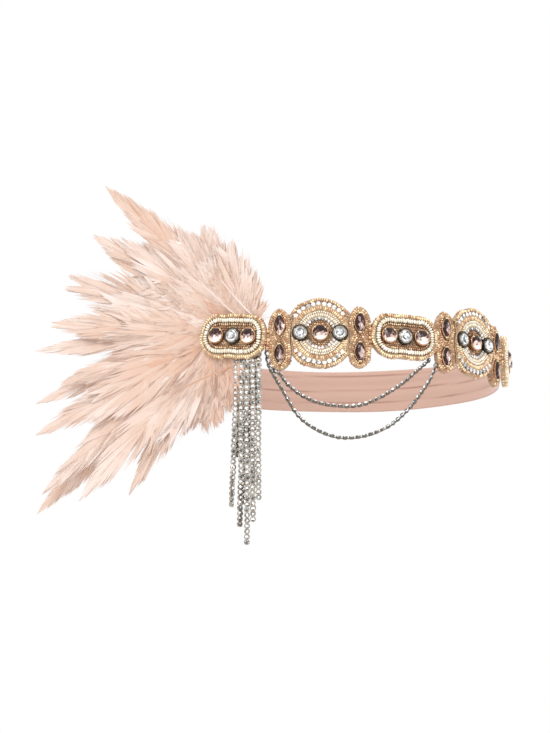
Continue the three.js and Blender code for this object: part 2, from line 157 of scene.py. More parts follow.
class HeadbandColours(bpy.types.PropertyGroup):
    """Colours of the headband's finishes, as they look on a screen in plain light."""

    gold: colour("Gold", "Light antique gold of the seed beads", 238, 212, 174)
    # The rose gold of the bronze cups, and the painted shade of the seed beads at the low end of their ramp
    rose_gold_and_bead_shade: colour("Copper", "Rose gold in the shaded beads", 192, 146, 112)
    cream: colour("Cream", "Champagne beads of the piping", 244, 234, 212)
    # The stones' bright and dark facet colours are painted reflections, which each facet's painted tone
    # picks between
    rose: colour("Rose stone", "Bright facets of the rose stones", 252, 222, 210)
    rose_dark_reflection: colour("Deep rose", "Dark facets of the rose stones", 64, 28, 24)
    clear: colour("Clear stone", "Bright facets of the clear stones", 246, 248, 250)
    clear_dark_reflection: colour("Deep clear", "Dark facets of the clear stones", 104, 110, 110)
    silver: colour("Silver", "Cups of the tassel's chains", 180, 170, 158)
    steel: colour("Steel", "Darker cups of the swags", 120, 114, 106)
    gunmetal: colour("Gunmetal", "Dark cups of the clear stones", 78, 72, 68)
    velvet: colour("Velvet", "Dusty rose elastic", 204, 170, 154)
    # The painted shade in the elastic's creases
    velvet_crease_shade: colour("Deep velvet", "Creases of the elastic", 156, 116, 102)
    blush: colour("Blush", "Feathers in plain light", 204, 177, 161)
    # Peach: partly the feathers' own colour, and at the ramp's low end the painted shade between overlapping
    # feathers
    peach: colour("Peach", "Streaks in the feathers", 199, 158, 135)
    fringe: colour("Fringe", "Greyish rose at some feathers' edges", 184, 171, 168)


# The head's loop and the places of the ornaments


def unit(vectors):
    """The same vectors at length 1."""
    return vectors / np.linalg.norm(vectors, axis=-1, keepdims=True)


class HeadLoop:
    """The oval loop round the head, walked by distance from the middle of its shown side."""

    def __init__(self, across, deep, facets=720):
        self.half = (across / 2, deep / 2)
        self.angles = np.linspace(0, 2 * math.pi, facets + 1)
        flat = self.flat(self.angles)
        steps = np.linalg.norm(np.diff(flat, axis=0), axis=1)
        self.walked = np.concatenate([[0], np.cumsum(steps)])
        self.total = self.walked[-1]

    def flat(self, angles):
        across = self.half[0] * np.sin(angles)
        deep = -self.half[1] * np.cos(angles)
        return np.stack([across, deep, np.zeros_like(across)], axis=-1)

    def spots(self, distances, out):
        """Points this far out from the loop, with the way along it and the way out at each."""
        angles = np.interp(np.mod(distances, self.total), self.walked, self.angles)
        along = np.stack(
            [
                self.half[0] * np.cos(angles),
                self.half[1] * np.sin(angles),
                np.zeros_like(angles),
            ],
            axis=-1,
        )
        along = unit(along)
        outward = np.stack([along[..., 1], -along[..., 0], along[..., 2]], axis=-1)
        out = np.asarray(out)
        points = self.flat(angles) + outward * (out[..., None] if out.ndim else out)
        return points, along, outward


Ornament = namedtuple("Ornament", "kind name along out stray tilt", defaults=(0,))
LEFT_OVAL_TILT = -6


def column_half_width(sizes, height, grow=0.0):
    """Half the width of a two-lobed column at a height."""
    lobe = sizes.column_height / 2 - sizes.column_lobe
    share = (np.abs(height) - lobe) / (sizes.column_lobe + grow)
    return (sizes.column_width / 2 + grow) * np.sqrt(np.maximum(0, 1 - share * share))


class Layout:
    """Where each ornament sits on the loop."""

    def __init__(self, sizes):
        self.sizes = sizes
        self.loop = HeadLoop(sizes.head_length, sizes.head_breadth)
        waist = 2 * float(column_half_width(sizes, 0.0))
        self.oval_pitch = sizes.oval_length / 2 + waist / 2 + sizes.link_gap
        self.round_pitch = sizes.round_diameter / 2 + sizes.column_width / 2 - sizes.round_tuck
        self.half_run = 2 * (self.oval_pitch + self.round_pitch)
        self.backing = sizes.elastic_thickness + 2 * sizes.seat_gap
        self.raised = self.backing + sizes.pad_thickness + sizes.seat_gap
        ramp = (self.backing + self.raised) / 2
        near = self.oval_pitch
        far = self.oval_pitch + self.round_pitch
        outer = self.oval_pitch + 2 * self.round_pitch
        self.run = [
            Ornament("oval", "oval_left", -self.half_run, self.raised, 0, LEFT_OVAL_TILT),
            Ornament("column", "column_1", -outer, ramp, -1),
            Ornament("round", "round_left", -far, self.backing, 0),
            Ornament("column", "column_2", -near, self.backing, -0.58),
            Ornament("oval", "oval_middle", 0, self.backing, 0),
            Ornament("column", "column_3", near, self.backing, -0.17),
            Ornament("round", "round_right", far, self.backing, 0.72),
            Ornament("column", "column_4", outer, self.backing, -0.36),
            Ornament("oval", "oval_right", self.half_run, self.backing, 0.43),
        ]

    def seat(self, along, out, stray=0.0):
        """The frame of a piece on the loop, as a 4 by 4 array."""
        point, way, outward = self.loop.spots(np.array(self.sizes.run_centre + along), out)
        place = np.eye(4)
        place[:3, 0] = way
        place[:3, 1] = (0, 0, 1)
        place[:3, 2] = outward
        place[:3, 3] = point + np.array([0, 0, stray * self.sizes.stray])
        return place

    def seat_of(self, ornament):
        tilt = np.array(Matrix.Rotation(math.radians(ornament.tilt), 4, "Z"))
        return self.seat(ornament.along, ornament.out, ornament.stray) @ tilt

    def side_seat(self):
        """Behind the left oval, where the feathers and the tassel are sewn."""
        return self.seat(-self.half_run, self.backing)


# Small shapes, and many copies of them joined in one mesh


class Shape:
    """A small mesh kept as arrays. Its tones say how light each face is, and its kinds which material."""

    def __init__(self, bm, tone=None):
        bmesh.ops.recalc_face_normals(bm, faces=bm.faces)
        bm.verts.index_update()
        self.points = np.array([vert.co[:] for vert in bm.verts])
        self.corners = np.array([vert.index for face in bm.faces for vert in face.verts])
        self.sides = np.array([len(face.verts) for face in bm.faces])
        self.kinds = np.array([face.material_index for face in bm.faces])
        self.smooth = np.array([face.smooth for face in bm.faces])
        tones = [tone(face) if tone else 0.0 for face in bm.faces]
        self.tones = np.repeat(tones, self.sides)
        bm.free()


class Joined:
    """Copies of small shapes, joined into one mesh with a tone for every corner."""

    def __init__(self):
        self.parts = []
        self.count = 0

    def add(self, shape, places, tones=0.0, kind=0):
        """Copies of a shape at these 4 by 4 places."""
        places = np.asarray(places).reshape(-1, 4, 4)
        if not len(places):
            return
        points = np.einsum("nij,vj->nvi", places[:, :3, :3], shape.points)
        points += places[:, None, :3, 3]
        tones = np.broadcast_to(np.asarray(tones, float).reshape(-1, 1), (len(places), 1))
        self.add_bent(shape, points, tones + shape.tones[None, :], kind)

    def add_bent(self, shape, points, corner_tones, kind=0):
        """Copies of a shape whose points are worked out one by one."""
        copies, each = points.shape[:2]
        starts = np.arange(copies) * each + self.count
        self.parts.append(
            (
                points.reshape(-1, 3),
                (shape.corners[None, :] + starts[:, None]).ravel(),
                np.tile(shape.sides, copies),
                np.tile(shape.kinds + kind, copies),
                np.tile(shape.smooth, copies),
                np.asarray(corner_tones, float).ravel(),
            )
        )
        self.count += copies * each

    def build(self, name, *materials):
        points, corners, sides, kinds, smooth, tones = map(np.concatenate, zip(*self.parts))
        mesh = bpy.data.meshes.new(name)
        mesh.vertices.add(len(points))
        mesh.vertices.foreach_set("co", points.astype(np.float32).ravel())
        mesh.loops.add(len(corners))
        mesh.loops.foreach_set("vertex_index", corners.astype(np.int32))
        mesh.polygons.add(len(sides))
        starts = np.concatenate([[0], np.cumsum(sides)[:-1]])
        mesh.polygons.foreach_set("loop_start", starts.astype(np.int32))
        mesh.polygons.foreach_set("material_index", kinds.astype(np.int32))
        mesh.polygons.foreach_set("use_smooth", smooth)
        mesh.update(calc_edges=True)
        add_layer(mesh, "tone", "CORNER", tones)
        mesh.validate()
        return show(name, mesh, *materials)


def add_layer(mesh, name, domain, values):
    """A number from 0 to 1 for each corner or point, which the materials look up by its name."""
    layer = mesh.attributes.new(name, "FLOAT", domain)
    layer.data.foreach_set("value", np.clip(values, 0, 1).astype(np.float32))


def show(name, mesh, *materials):
    """A new object for a mesh, in the scene and with its materials."""
    piece = bpy.data.objects.new(name, mesh)
    bpy.context.scene.collection.objects.link(piece)
    for material in materials:
        mesh.materials.append(material)
    return piece


def wear(piece, slot, *nodes):
    """The piece goes with the headband and stands for these nodes. The slot is not used."""
    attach(piece, "root")
    if nodes:
        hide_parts(*nodes)
    return piece


def smoothed(bm, smooth=True):
    for face in bm.faces:
        face.smooth = smooth
    return bm


def bead_shape():
    """A round bead of radius 1."""
    bm = bmesh.new()
    bmesh.ops.create_uvsphere(bm, u_segments=8, v_segments=4, radius=1)
    return Shape(smoothed(bm))


def crystal_shape(rng):
    """A small faceted crystal of radius 1, each face lighter or darker at random, as painted reflections and
    glints.
    """
    bm = bmesh.new()
    bmesh.ops.create_icosphere(bm, subdivisions=1, radius=1)
    return Shape(smoothed(bm, False), lambda face: rng.uniform(-0.5, 0.45))


def turned_shape(profile, steps, closed=True):
    """A profile of radius and height turned round Z."""
    bm = bmesh.new()
    verts = [bm.verts.new((radius, 0, height)) for radius, height in profile]
    pairs = list(zip(verts, verts[1:]))
    if closed:
        pairs.append((verts[-1], verts[0]))
    edges = [bm.edges.new(pair) for pair in pairs]
    bmesh.ops.spin(
        bm,
        geom=verts + edges,
        cent=(0, 0, 0),
        axis=(0, 0, 1),
        angle=2 * math.pi,
        steps=steps,
        use_merge=True,
    )
    bmesh.ops.remove_doubles(bm, verts=bm.verts, dist=1e-7)
    return Shape(smoothed(bm))


# A stone's tiers: share of its half width, height as a share of its crown, corners, and turn in corners
STONE_TIERS = [
    (0.54, 1.0, 8, 0.5),
    (0.8, 0.62, 8, 0.0),
    (1.0, 0.1, 16, 0.0),
    (0.93, -0.25, 16, 0.0),
]


def stone_shape(rng, half_wide, half_long, crown, kind):
    """
    A cut stone with a table, whose facets' tones are painted reflections. The facets of a clear stone have a
    painted greyer ring, those of a round rose stone are painted darker upwards, and those of a pointed one
    are painted lighter towards one side and in the middle.
    """
    pointed = kind == "navette"
    bm = bmesh.new()
    for share, height, corners, turn in STONE_TIERS:
        spin = Matrix.Rotation(turn * 2 * math.pi / corners, 4, "Z")
        lift = Matrix.Translation((0, 0, height * crown))
        ring = bmesh.ops.create_circle(bm, segments=corners, radius=1, matrix=lift @ spin)
        for vert in ring["verts"]:
            across, up = vert.co.x, vert.co.y
            if pointed:
                across = math.copysign(across * across, across)
            vert.co.x = across * share * half_wide
            vert.co.y = up * share * half_long
    bmesh.ops.remove_doubles(bm, verts=bm.verts, dist=1e-7)
    bmesh.ops.convex_hull(bm, input=bm.verts, use_existing_faces=False)
    loose = [edge for edge in bm.edges if not edge.link_faces]
    bmesh.ops.delete(bm, geom=loose, context="EDGES")
    bmesh.ops.dissolve_limit(bm, angle_limit=math.radians(1), verts=bm.verts, edges=bm.edges)
    bm.normal_update()
    table = max(bm.faces, key=lambda face: (face.normal.z, face.calc_area()))
    bmesh.ops.poke(bm, faces=[table], offset=-0.02 * crown)
    # How much a pointed stone's middle is painted brighter, and how much it is painted lighter towards one
    # side
    glow = rng.uniform(0, 1.3)
    lean = rng.uniform(0.1, 1.0)

    def tone(face):
        centre = face.calc_center_median()
        lift = centre.y / half_long
        sway = centre.x / half_wide
        rim = math.hypot(lift, sway)
        if kind == "clear":
            return (0.5 if abs(rim - 0.66) < 0.13 else 0.8) - 0.1 * lift + rng.uniform(-0.42, 0.25)
        if pointed:
            return 0.3 - 0.45 * lift + lean * sway + glow * (0.45 - rim) + rng.uniform(-0.3, 0.3)
        return 0.36 - 0.95 * lift + 0.3 * lean * sway + rng.uniform(-0.28, 0.28)

    return Shape(smoothed(bm, False), tone)


def cup_chain_shape(rng, radius, tall, stretch, rim):
    """One cup of a stone chain, longer along Y by a stretch, its metal of kind 0 and its stone of kind 1."""
    bm = bmesh.new()
    bmesh.ops.create_cone(
        bm,
        cap_ends=True,
        segments=8,
        radius1=radius * 0.82,
        radius2=radius,
        depth=tall,
        matrix=Matrix.Translation((0, 0, tall / 2)),
    )
    top = max(bm.faces, key=lambda face: face.calc_center_median().z)
    bmesh.ops.inset_region(bm, faces=[top], thickness=radius * rim, depth=0)
    bmesh.ops.inset_region(bm, faces=[top], thickness=radius * 0.3, depth=radius * 0.3)
    for face in bm.faces:
        centre = face.calc_center_median()
        if centre.z > tall * 0.97 and math.hypot(centre.x, centre.y) < radius * (1 - rim) * 0.93:
            face.material_index = 1

    bmesh.ops.scale(bm, vec=(1, stretch, 1), verts=bm.verts)

    # Each chain stone gets a random tone, painted as a brighter or darker reflection; the metal takes a
    # plain middle tone
    def tone(face):
        return rng.uniform(0.0, 1.1) if face.material_index else 0.5

    return Shape(smoothed(bm, False), tone)


def bar_shape():
    """A short flat link of length 1 along Y."""
    bm = bmesh.new()
    bmesh.ops.create_cube(bm, size=1)
    return Shape(smoothed(bm, False))


def cut_cone(sides, top, cuts):
    """A cone from radius 1 at its foot to a top radius at height 1, with an edge loop at each cut."""
    bm = bmesh.new()
    lift = Matrix.Translation((0, 0, 0.5))
    bmesh.ops.create_cone(
        bm, cap_ends=True, segments=sides, radius1=1, radius2=top, depth=1, matrix=lift
    )
    bmesh.ops.remove_doubles(bm, verts=bm.verts, dist=1e-6)
    for height in cuts:
        everything = bm.verts[:] + bm.edges[:] + bm.faces[:]
        bmesh.ops.bisect_plane(bm, geom=everything, plane_co=(0, 0, height), plane_no=(0, 0, 1))
    return Shape(smoothed(bm))


def places_on(points, ways, sizes):
    """Places for copies: X goes along each way in the plane, Z points out, and sizes are half sizes."""
    ways = unit(ways)
    places = np.zeros((len(points), 4, 4))
    places[:, 0, 0] = ways[:, 0]
    places[:, 1, 0] = ways[:, 1]
    places[:, 0, 1] = -ways[:, 1]
    places[:, 1, 1] = ways[:, 0]
    places[:, 2, 2] = 1
    places[:, :3, :3] *= np.asarray(sizes).reshape(-1, 1, 3)
    places[:, :3, 3] = points
    places[:, 3, 3] = 1
    return places


def even_walk(outline, pitch, closed=True):
    """Points at an even pitch along an outline, with the way along it at each."""
    line = np.vstack([outline, outline[:1]]) if closed else np.asarray(outline)
    walked = np.concatenate([[0], np.cumsum(np.linalg.norm(np.diff(line, axis=0), axis=1))])
    count = max(3, round(walked[-1] / pitch))
    at = np.arange(count) * walked[-1] / count if closed else np.linspace(0, walked[-1], count + 1)

    def look(distances):
        if closed:
            distances = np.mod(distances, walked[-1])
        return np.stack([np.interp(distances, walked, line[:, i]) for i in range(line.shape[1])], 1)

    step = walked[-1] / count / 3
    return look(at), look(at + step) - look(at - step)


# Outlines of the ornaments, in their local frames


def oval_outline(sizes, inset):
    radius = sizes.oval_corner - inset
    turn = np.linspace(0, math.pi / 2, 13)
    points = []
    for quarter, (side, up) in enumerate([(1, 1), (-1, 1), (-1, -1), (1, -1)]):
        angles = turn + quarter * math.pi / 2
        middle_x = side * (sizes.oval_length / 2 - sizes.oval_corner)
        middle_y = up * (sizes.oval_height / 2 - sizes.oval_corner)
        x = middle_x + radius * np.cos(angles)
        y = middle_y + radius * np.sin(angles)
        points.append(np.stack([x, y], 1))
    return np.vstack(points)


def round_outline(sizes, inset):
    angles = np.linspace(0, 2 * math.pi, 97)[:-1]
    radius = sizes.round_diameter / 2 - inset
    return radius * np.stack([np.cos(angles), np.sin(angles)], 1)


def column_outline(sizes, inset):
    turn = np.linspace(0, math.pi, 41)
    heights = -(sizes.column_height / 2 - inset) * np.cos(turn)
    widths = column_half_width(sizes, heights, -inset)
    right = np.stack([widths, heights], 1)
    left = right[::-1] * [-1, 1]
    return np.vstack([right, left[1:-1]])


# Beads round an outline, in millimetres: how far in from the edge, height over the seat, pitch, half sizes
# along, across and up, tone, and which shape
BeadRow = namedtuple("BeadRow", "inset height pitch along across tall tone shape")

# Rows with low tones, such as the outermost ones and the floor beads, take the ramps' painted shade
OVAL_ROWS = [
    BeadRow(0.35, 1.2, 1.75, 0.9, 0.75, 0.9, 0.35, "gold"),
    BeadRow(1.0, 2.75, 1.3, 0.68, 1.15, 0.95, 0.62, "gold"),
    BeadRow(5.9, 2.5, 1.25, 0.6, 0.9, 0.75, 0.5, "gold"),
]

PIPING_ROW = BeadRow(3.75, 3.35, 1.36, 0.7, 1.45, 1.4, 0.72, "cream")

ROUND_ROWS = [
    BeadRow(0.35, 1.2, 1.75, 0.9, 0.75, 0.9, 0.3, "gold"),
    BeadRow(1.0, 2.75, 1.3, 0.68, 1.0, 0.95, 0.5, "gold"),
    BeadRow(3.3, 2.7, 3.0, 1.5, 1.75, 1.2, 0.62, "crescent"),
    BeadRow(5.9, 3.15, 1.2, 0.62, 1.35, 0.9, 0.6, "gold"),
    BeadRow(7.9, 3.3, 1.2, 0.58, 0.75, 0.8, 0.62, "cream"),
    BeadRow(9.5, 3.1, 1.25, 0.64, 1.1, 0.9, 0.66, "cream"),
    BeadRow(11.6, 2.9, 1.95, 0.96, 1.0, 0.95, 0.6, "crystal"),
]

# Rows of the rounds that follow the cut edges beside the columns
CUT_ROWS = [
    BeadRow(1.0, 2.75, 1.3, 0.68, 1.0, 0.95, 0.5, "gold"),
    BeadRow(3.0, 2.75, 1.3, 0.68, 0.95, 0.9, 0.42, "gold"),
    BeadRow(4.7, 2.75, 1.3, 0.68, 0.8, 0.85, 0.5, "gold"),
]

COLUMN_ROWS = [
    BeadRow(0.35, 1.2, 1.6, 0.8, 0.75, 0.9, 0.2, "gold"),
    BeadRow(1.05, 2.75, 1.3, 0.68, 1.05, 0.9, 0.42, "gold"),
    BeadRow(2.55, 2.95, 1.3, 0.66, 0.62, 0.7, 0.5, "gold"),
]

# How far from a column's edge a round's own rows stop, and between which insets from the round's edge its
# inner cut rows lie
CUT_CLEARANCE = 0.2 * MM
CUT_ROWS_FROM = 1.8 * MM
CUT_ROWS_TO = 5.2 * MM

# The small beads of an ornament's floor, half the floor's width on a round and on a column, the radius of a
# round's floor, and how much higher a column's floor lies
FLOOR_BEAD = BeadRow(7.4, 1.9, 1.45, 0.72, 0.72, 0.62, 0.3, "gold")
ROUND_FLOOR = (7.2 * MM, 7.2 * MM)
ROUND_FLOOR_RADIUS = 7.4 * MM
COLUMN_FLOOR = (2.6 * MM, 4.6 * MM)
COLUMN_FLOOR_LIFT = 1.2 * MM


class StoneSeat(namedtuple("StoneSeat", "node across up half_wide half_long kind")):
    """Where a stone sits on its ornament, and how large it is."""

    def covers(self, points, margin):
        """Which of these points lie under the stone."""
        across = (points[:, 0] - self.across) / (self.half_wide + margin)
        up = (points[:, 1] - self.up) / (self.half_long + margin)
        if self.kind == "navette":
            return np.abs(across) < 1 - up * up
        return across * across + up * up < 1


def stone_seats(sizes, ornament):
    """The stones of an ornament from the feather side on, or from the top down."""
    if ornament.kind == "column":
        seats = []
        for place, side in (("upper", 1), ("lower", -1)):
            node = f"{ornament.name}_stone_{place}"
            up = side * sizes.navette_spacing / 2
            halves = (sizes.navette_width / 2, sizes.navette_length / 2)
            seats.append(StoneSeat(node, 0.0, up, *halves, "navette"))
        return seats
    if ornament.kind == "oval":
        rim = sizes.oval_border + sizes.seat_gap + sizes.piping_width
        opening = sizes.oval_length - 2 * rim
        side = (opening - 2 * sizes.seat_gap - 2 * sizes.stone_spacing) / 3
        middle = side
        pitch = side + sizes.stone_spacing
        kinds = ("rose", "clear", "rose")
    else:
        middle, side = sizes.round_stone, sizes.round_side_stone
        pitch = sizes.round_stone_pitch
        kinds = ("clear", "rose", "clear")
    seats = []
    for index, kind in enumerate(kinds):
        half = (middle if index == 1 else side) / 2
        node = f"{ornament.name}_stone_{index + 1}"
        seats.append(StoneSeat(node, (index - 1) * pitch, 0.0, half, half, kind))
    return seats


def bead_places(row, points, ways):
    """Places of a row's beads at points on an ornament's face."""
    heights = np.full((len(points), 1), row.height * MM)
    halves = np.array([row.along, row.across, row.tall]) * MM
    return places_on(np.hstack([points, heights]), ways, halves)


def neighbours(layout, ornament):
    """For each column beside a round, which side it is on and how much higher it sits."""
    here = layout.run.index(ornament)
    for column in (layout.run[here - 1], layout.run[here + 1]):
        side = math.copysign(1, column.along - ornament.along)
        yield side, (column.stray - ornament.stray) * layout.sizes.stray


def bitten(layout, ornament, points):
    """Which points of a round lie on its neighbouring columns."""
    hidden = np.zeros(len(points), bool)
    for side, rise in neighbours(layout, ornament):
        edge = layout.round_pitch - column_half_width(layout.sizes, points[:, 1] - rise, CUT_CLEARANCE)
        hidden |= points[:, 0] * side > edge
    return hidden


def cut_places(layout, ornament, row):
    """Places of a row of beads beside both cut edges of a round, in its frame."""
    radius = layout.sizes.round_diameter / 2
    rows = []
    for side, rise in neighbours(layout, ornament):
        up = np.arange(-radius, radius, row.pitch * MM)
        edge = layout.round_pitch - column_half_width(layout.sizes, up - rise, row.inset * MM)
        points = np.stack([side * edge, up], 1)
        away = np.hypot(points[:, 0], points[:, 1])
        keep = (away < radius - CUT_ROWS_FROM) & ((away > radius - CUT_ROWS_TO) | (row.inset < 2))
        rows.append((bead_places(row, points, np.gradient(points, axis=0))[keep], points[keep]))
    return tuple(np.concatenate(parts) for parts in zip(*rows))


# Materials


class Value:
    """A shader socket in plain arithmetic: each operation adds one Math node."""

    def __init__(self, finish, socket):
        self.finish = finish
        self.socket = socket

    def maths(self, operation, *values):
        node = self.finish.node("ShaderNodeMath", {"operation": operation}, dict(enumerate(values)))
        return Value(self.finish, node.outputs[0])

    def __add__(self, other):
        return self.maths("ADD", self, other)

    def __sub__(self, other):
        return self.maths("SUBTRACT", self, other)

    def __rsub__(self, other):
        return self.maths("SUBTRACT", other, self)

    def __mul__(self, other):
        return self.maths("MULTIPLY", self, other)

    def clamped(self):
        node = self.finish.node("ShaderNodeClamp", {}, {"Value": self})
        return Value(self.finish, node.outputs[0])


class Finish:
    """A material with one Principled shader, whose constants are set on its own sockets."""

    def __init__(self, name, **constants):
        self.material = bpy.data.materials.new(name)
        self.material.use_nodes = True
        self.tree = self.material.node_tree
        self.shader = next(node for node in self.tree.nodes if node.type == "BSDF_PRINCIPLED")
        for socket, value in constants.items():
            self.shader.inputs[socket.replace("_", " ")].default_value = value

    def node(self, kind, settings, inputs):
        """A node of a kind, its settings first and then the values or links of its sockets."""
        node = self.tree.nodes.new(kind)
        for setting, value in settings.items():
            if setting == "stops":
                ramp = node.color_ramp
                while len(ramp.elements) < len(value):
                    ramp.elements.new(1.0)
                for element, (position, tint) in zip(ramp.elements, value):
                    element.position = position
                    element.color = (*tint, 1)
            else:
                setattr(node, setting, value)
        for socket, value in inputs.items():
            self.feed(node.inputs[socket], value)
        return node

    def feed(self, socket, value):
        if isinstance(value, Value):
            self.tree.links.new(value.socket, socket)
        elif isinstance(value, bpy.types.NodeSocket):
            self.tree.links.new(value, socket)
        else:
            socket.default_value = value

    def place(self):
        return self.node("ShaderNodeTexCoord", {}, {}).outputs["Object"]

    def tone(self):
        node = self.node("ShaderNodeAttribute", {"attribute_name": "tone"}, {})
        return Value(self, node.outputs["Fac"])

    def noise(self, where, scale, detail=2.0):
        inputs = {"Vector": where, "Scale": scale, "Detail": detail}
        return Value(self, self.node("ShaderNodeTexNoise", {}, inputs).outputs[0])

    def stretched(self, where, scale):
        node = self.node("ShaderNodeMapping", {}, {"Vector": where, "Scale": scale})
        return node.outputs[0]

    def ramp(self, value, stops):
        return self.node("ShaderNodeValToRGB", {"stops": stops}, {0: value}).outputs["Color"]

    def mixed(self, amount, first, second):
        node = self.node("ShaderNodeMix", {"data_type": "RGBA"}, {})
        self.feed(node.inputs["Factor"], amount)
        self.feed(node.inputs[6], first if not isinstance(first, tuple) else (*first, 1))
        self.feed(node.inputs[7], second if not isinstance(second, tuple) else (*second, 1))
        return node.outputs[2]

    def bump(self, height, distance, strength=1.0):
        inputs = {"Height": height, "Distance": distance, "Strength": strength}
        self.set("Normal", self.node("ShaderNodeBump", {}, inputs).outputs[0])

    def set(self, socket, value):
        self.feed(self.shader.inputs[socket], value)


def scaled(tint, factor):
    return tuple(min(1.0, channel * factor) for channel in tint)


def gold_bead_finish(colours):
    finish = Finish("gold_seed_beads", Metallic=0.72, Coat_Weight=0.35, Coat_Roughness=0.12)
    where = finish.place()
    speck = finish.noise(where, 420, 1.0)
    patch = finish.noise(where, 60, 2.0)
    # Painted light: the row's tone and a bead-sized noise pick painted shade at the ramp's dark end and
    # painted highlights at its bright end
    lightness = (finish.tone() + (speck - 0.5) * 0.9 + (patch - 0.5) * 0.35).clamped()
    gold, rose_gold_and_bead_shade = tuple(colours.gold), tuple(colours.rose_gold_and_bead_shade)
    stops = [(0.0, scaled(rose_gold_and_bead_shade, 0.62)), (0.35, rose_gold_and_bead_shade), (0.62, gold), (1.0, scaled(gold, 1.35))]
    finish.set("Base Color", finish.ramp(lightness, stops))
    finish.set("Roughness", speck * 0.25 + 0.16)
    return finish.material


def cream_bead_finish(colours):
    finish = Finish("cream_beads", Metallic=0.15, Coat_Weight=0.8, Coat_Roughness=0.08)
    where = finish.place()
    speck = finish.noise(where, 500, 1.0)
    # Painted light: the row's tone and a fine noise pick painted shade at the ramp's low end and painted
    # highlights at its near-white top
    lightness = (finish.tone() + (speck - 0.5) * 1.1).clamped()
    cream, gold = tuple(colours.cream), tuple(colours.gold)
    stops = [(0.0, gold), (0.4, scaled(cream, 0.82)), (0.75, cream), (1.0, (1.0, 0.98, 0.94))]
    finish.set("Base Color", finish.ramp(lightness, stops))
    finish.set("Roughness", speck * 0.2 + 0.15)
    return finish.material


def stone_finish(name, deep, bright, metallic):
    """Foiled glass: the facets' own tones stand for what the foil sends back, as painted dark and bright
    reflections, and a fine noise adds painted glints.
    """
    finish = Finish(name, Metallic=metallic, Coat_Weight=0.45, Coat_Roughness=0.02, Specular_IOR_Level=0.3)
    glint = finish.noise(finish.place(), 900, 1.0)
    lightness = (finish.tone() + (glint - 0.5) * 0.35).clamped()
    stops = [
        (0.0, scaled(deep, 0.35)),
        (0.32, deep),
        (0.58, tuple((a + b) / 2 for a, b in zip(deep, bright))),
        (0.8, bright),
        (1.0, (1.0, 0.98, 0.97)),
    ]
    finish.set("Base Color", finish.ramp(lightness, stops))
    finish.set("Roughness", glint * 0.08 + 0.04)
    return finish.material


def metal_finish(name, tint, roughness):
    finish = Finish(name, Metallic=1.0)
    wear_marks = finish.noise(finish.place(), 350, 3.0)
    finish.set("Base Color", finish.mixed(wear_marks, scaled(tint, 0.6), scaled(tint, 1.25)))
    finish.set("Roughness", wear_marks * 0.2 + roughness)
    return finish.material


def plate_finish(colours):
    """The stitched gold ground that the beads are sewn on."""
    finish = Finish("gold_ground", Metallic=0.45)
    where = finish.place()
    cells = finish.node("ShaderNodeTexVoronoi", {}, {"Vector": where, "Scale": 800.0})
    grain = Value(finish, cells.outputs["Distance"])
    patch = finish.noise(where, 90, 2.0)
    rose_gold_and_bead_shade, gold = tuple(colours.rose_gold_and_bead_shade), tuple(colours.gold)
    finish.set("Base Color", finish.mixed(patch, scaled(rose_gold_and_bead_shade, 0.55), scaled(gold, 0.7)))
    finish.set("Roughness", patch * 0.2 + 0.4)
    finish.bump(1 - grain, 0.0004, 0.8)
    return finish.material


def velvet_finish(colours):
    """Velvet elastic: a lengthwise rib, a soft nap, and painted shade in the creases from the piece's own
    tone.
    """
    constants = {"Sheen_Weight": 0.7, "Sheen_Roughness": 0.45}
    finish = Finish("velvet_elastic", **constants)
    finish.shader.inputs["Sheen Tint"].default_value = (1.0, 0.88, 0.84, 1)
    where = finish.node("ShaderNodeUVMap", {"uv_map": "UVMap"}, {}).outputs[0]
    nap = finish.noise(finish.stretched(where, (380, 60, 1)), 1.0, 3.0)
    rib = finish.noise(finish.stretched(where, (24, 34, 1)), 1.0, 2.0)
    patch = finish.noise(finish.stretched(where, (60, 9, 1)), 1.0, 3.0)
    shade = (finish.tone() + (nap - 0.5) * 0.7 + (rib - 0.5) * 2.4 + (patch - 0.5) * 1.8).clamped()
    deep, light = tuple(colours.velvet_crease_shade), tuple(colours.velvet)
    stops = [(0.0, scaled(deep, 0.7)), (0.35, deep), (0.65, light), (1.0, scaled(light, 1.2))]
    finish.set("Base Color", finish.ramp(shade, stops))
    finish.set("Roughness", nap * 0.2 + 0.7)
    finish.bump(nap * 0.5 + rib * 0.5, 0.0003, 0.6)
    return finish.material


def feather_finish(colours):
    """
    Barbs from peach through blush to nearly white, with a greyish fringe where the grey says so. The peach
    is partly the feathers' own colour and, at the ramp's darker end, painted shade where they overlap; the
    near-white end is painted highlight.
    The light they pass on to each other is a faint painted glow, an emission in their own colour.
    """
    finish = Finish("feather_barbs", Specular_IOR_Level=0.2, Emission_Strength=0.15)
    where = finish.place()
    streak = finish.noise(where, 55, 3.0)
    lightness = (finish.tone() + (streak - 0.5) * 0.45).clamped()
    blush, peach = tuple(colours.blush), tuple(colours.peach)
    stops = [
        (0.0, scaled(peach, 0.78)),
        (0.3, peach),
        (0.6, blush),
        (1.0, tuple(channel * 0.55 + 0.4 for channel in blush)),
    ]
    grey = finish.node("ShaderNodeAttribute", {"attribute_name": "grey"}, {}).outputs["Fac"]
    tint = finish.mixed(grey, finish.ramp(lightness, stops), tuple(colours.fringe))
    finish.set("Base Color", tint)
    # Painted glow: the barbs emit a little of their own colour in place of the light that passes through
    # them
    finish.set("Emission Color", tint)
    finish.set("Roughness", streak * 0.2 + 0.6)
    return finish.material


def floor_finish():
    finish = Finish("studio_floor", Roughness=0.9)
    grain = finish.noise(finish.place(), 3, 2.0)
    finish.set("Base Color", finish.mixed(grain, (0.86, 0.86, 0.86), (0.9, 0.9, 0.9)))
    return finish.material


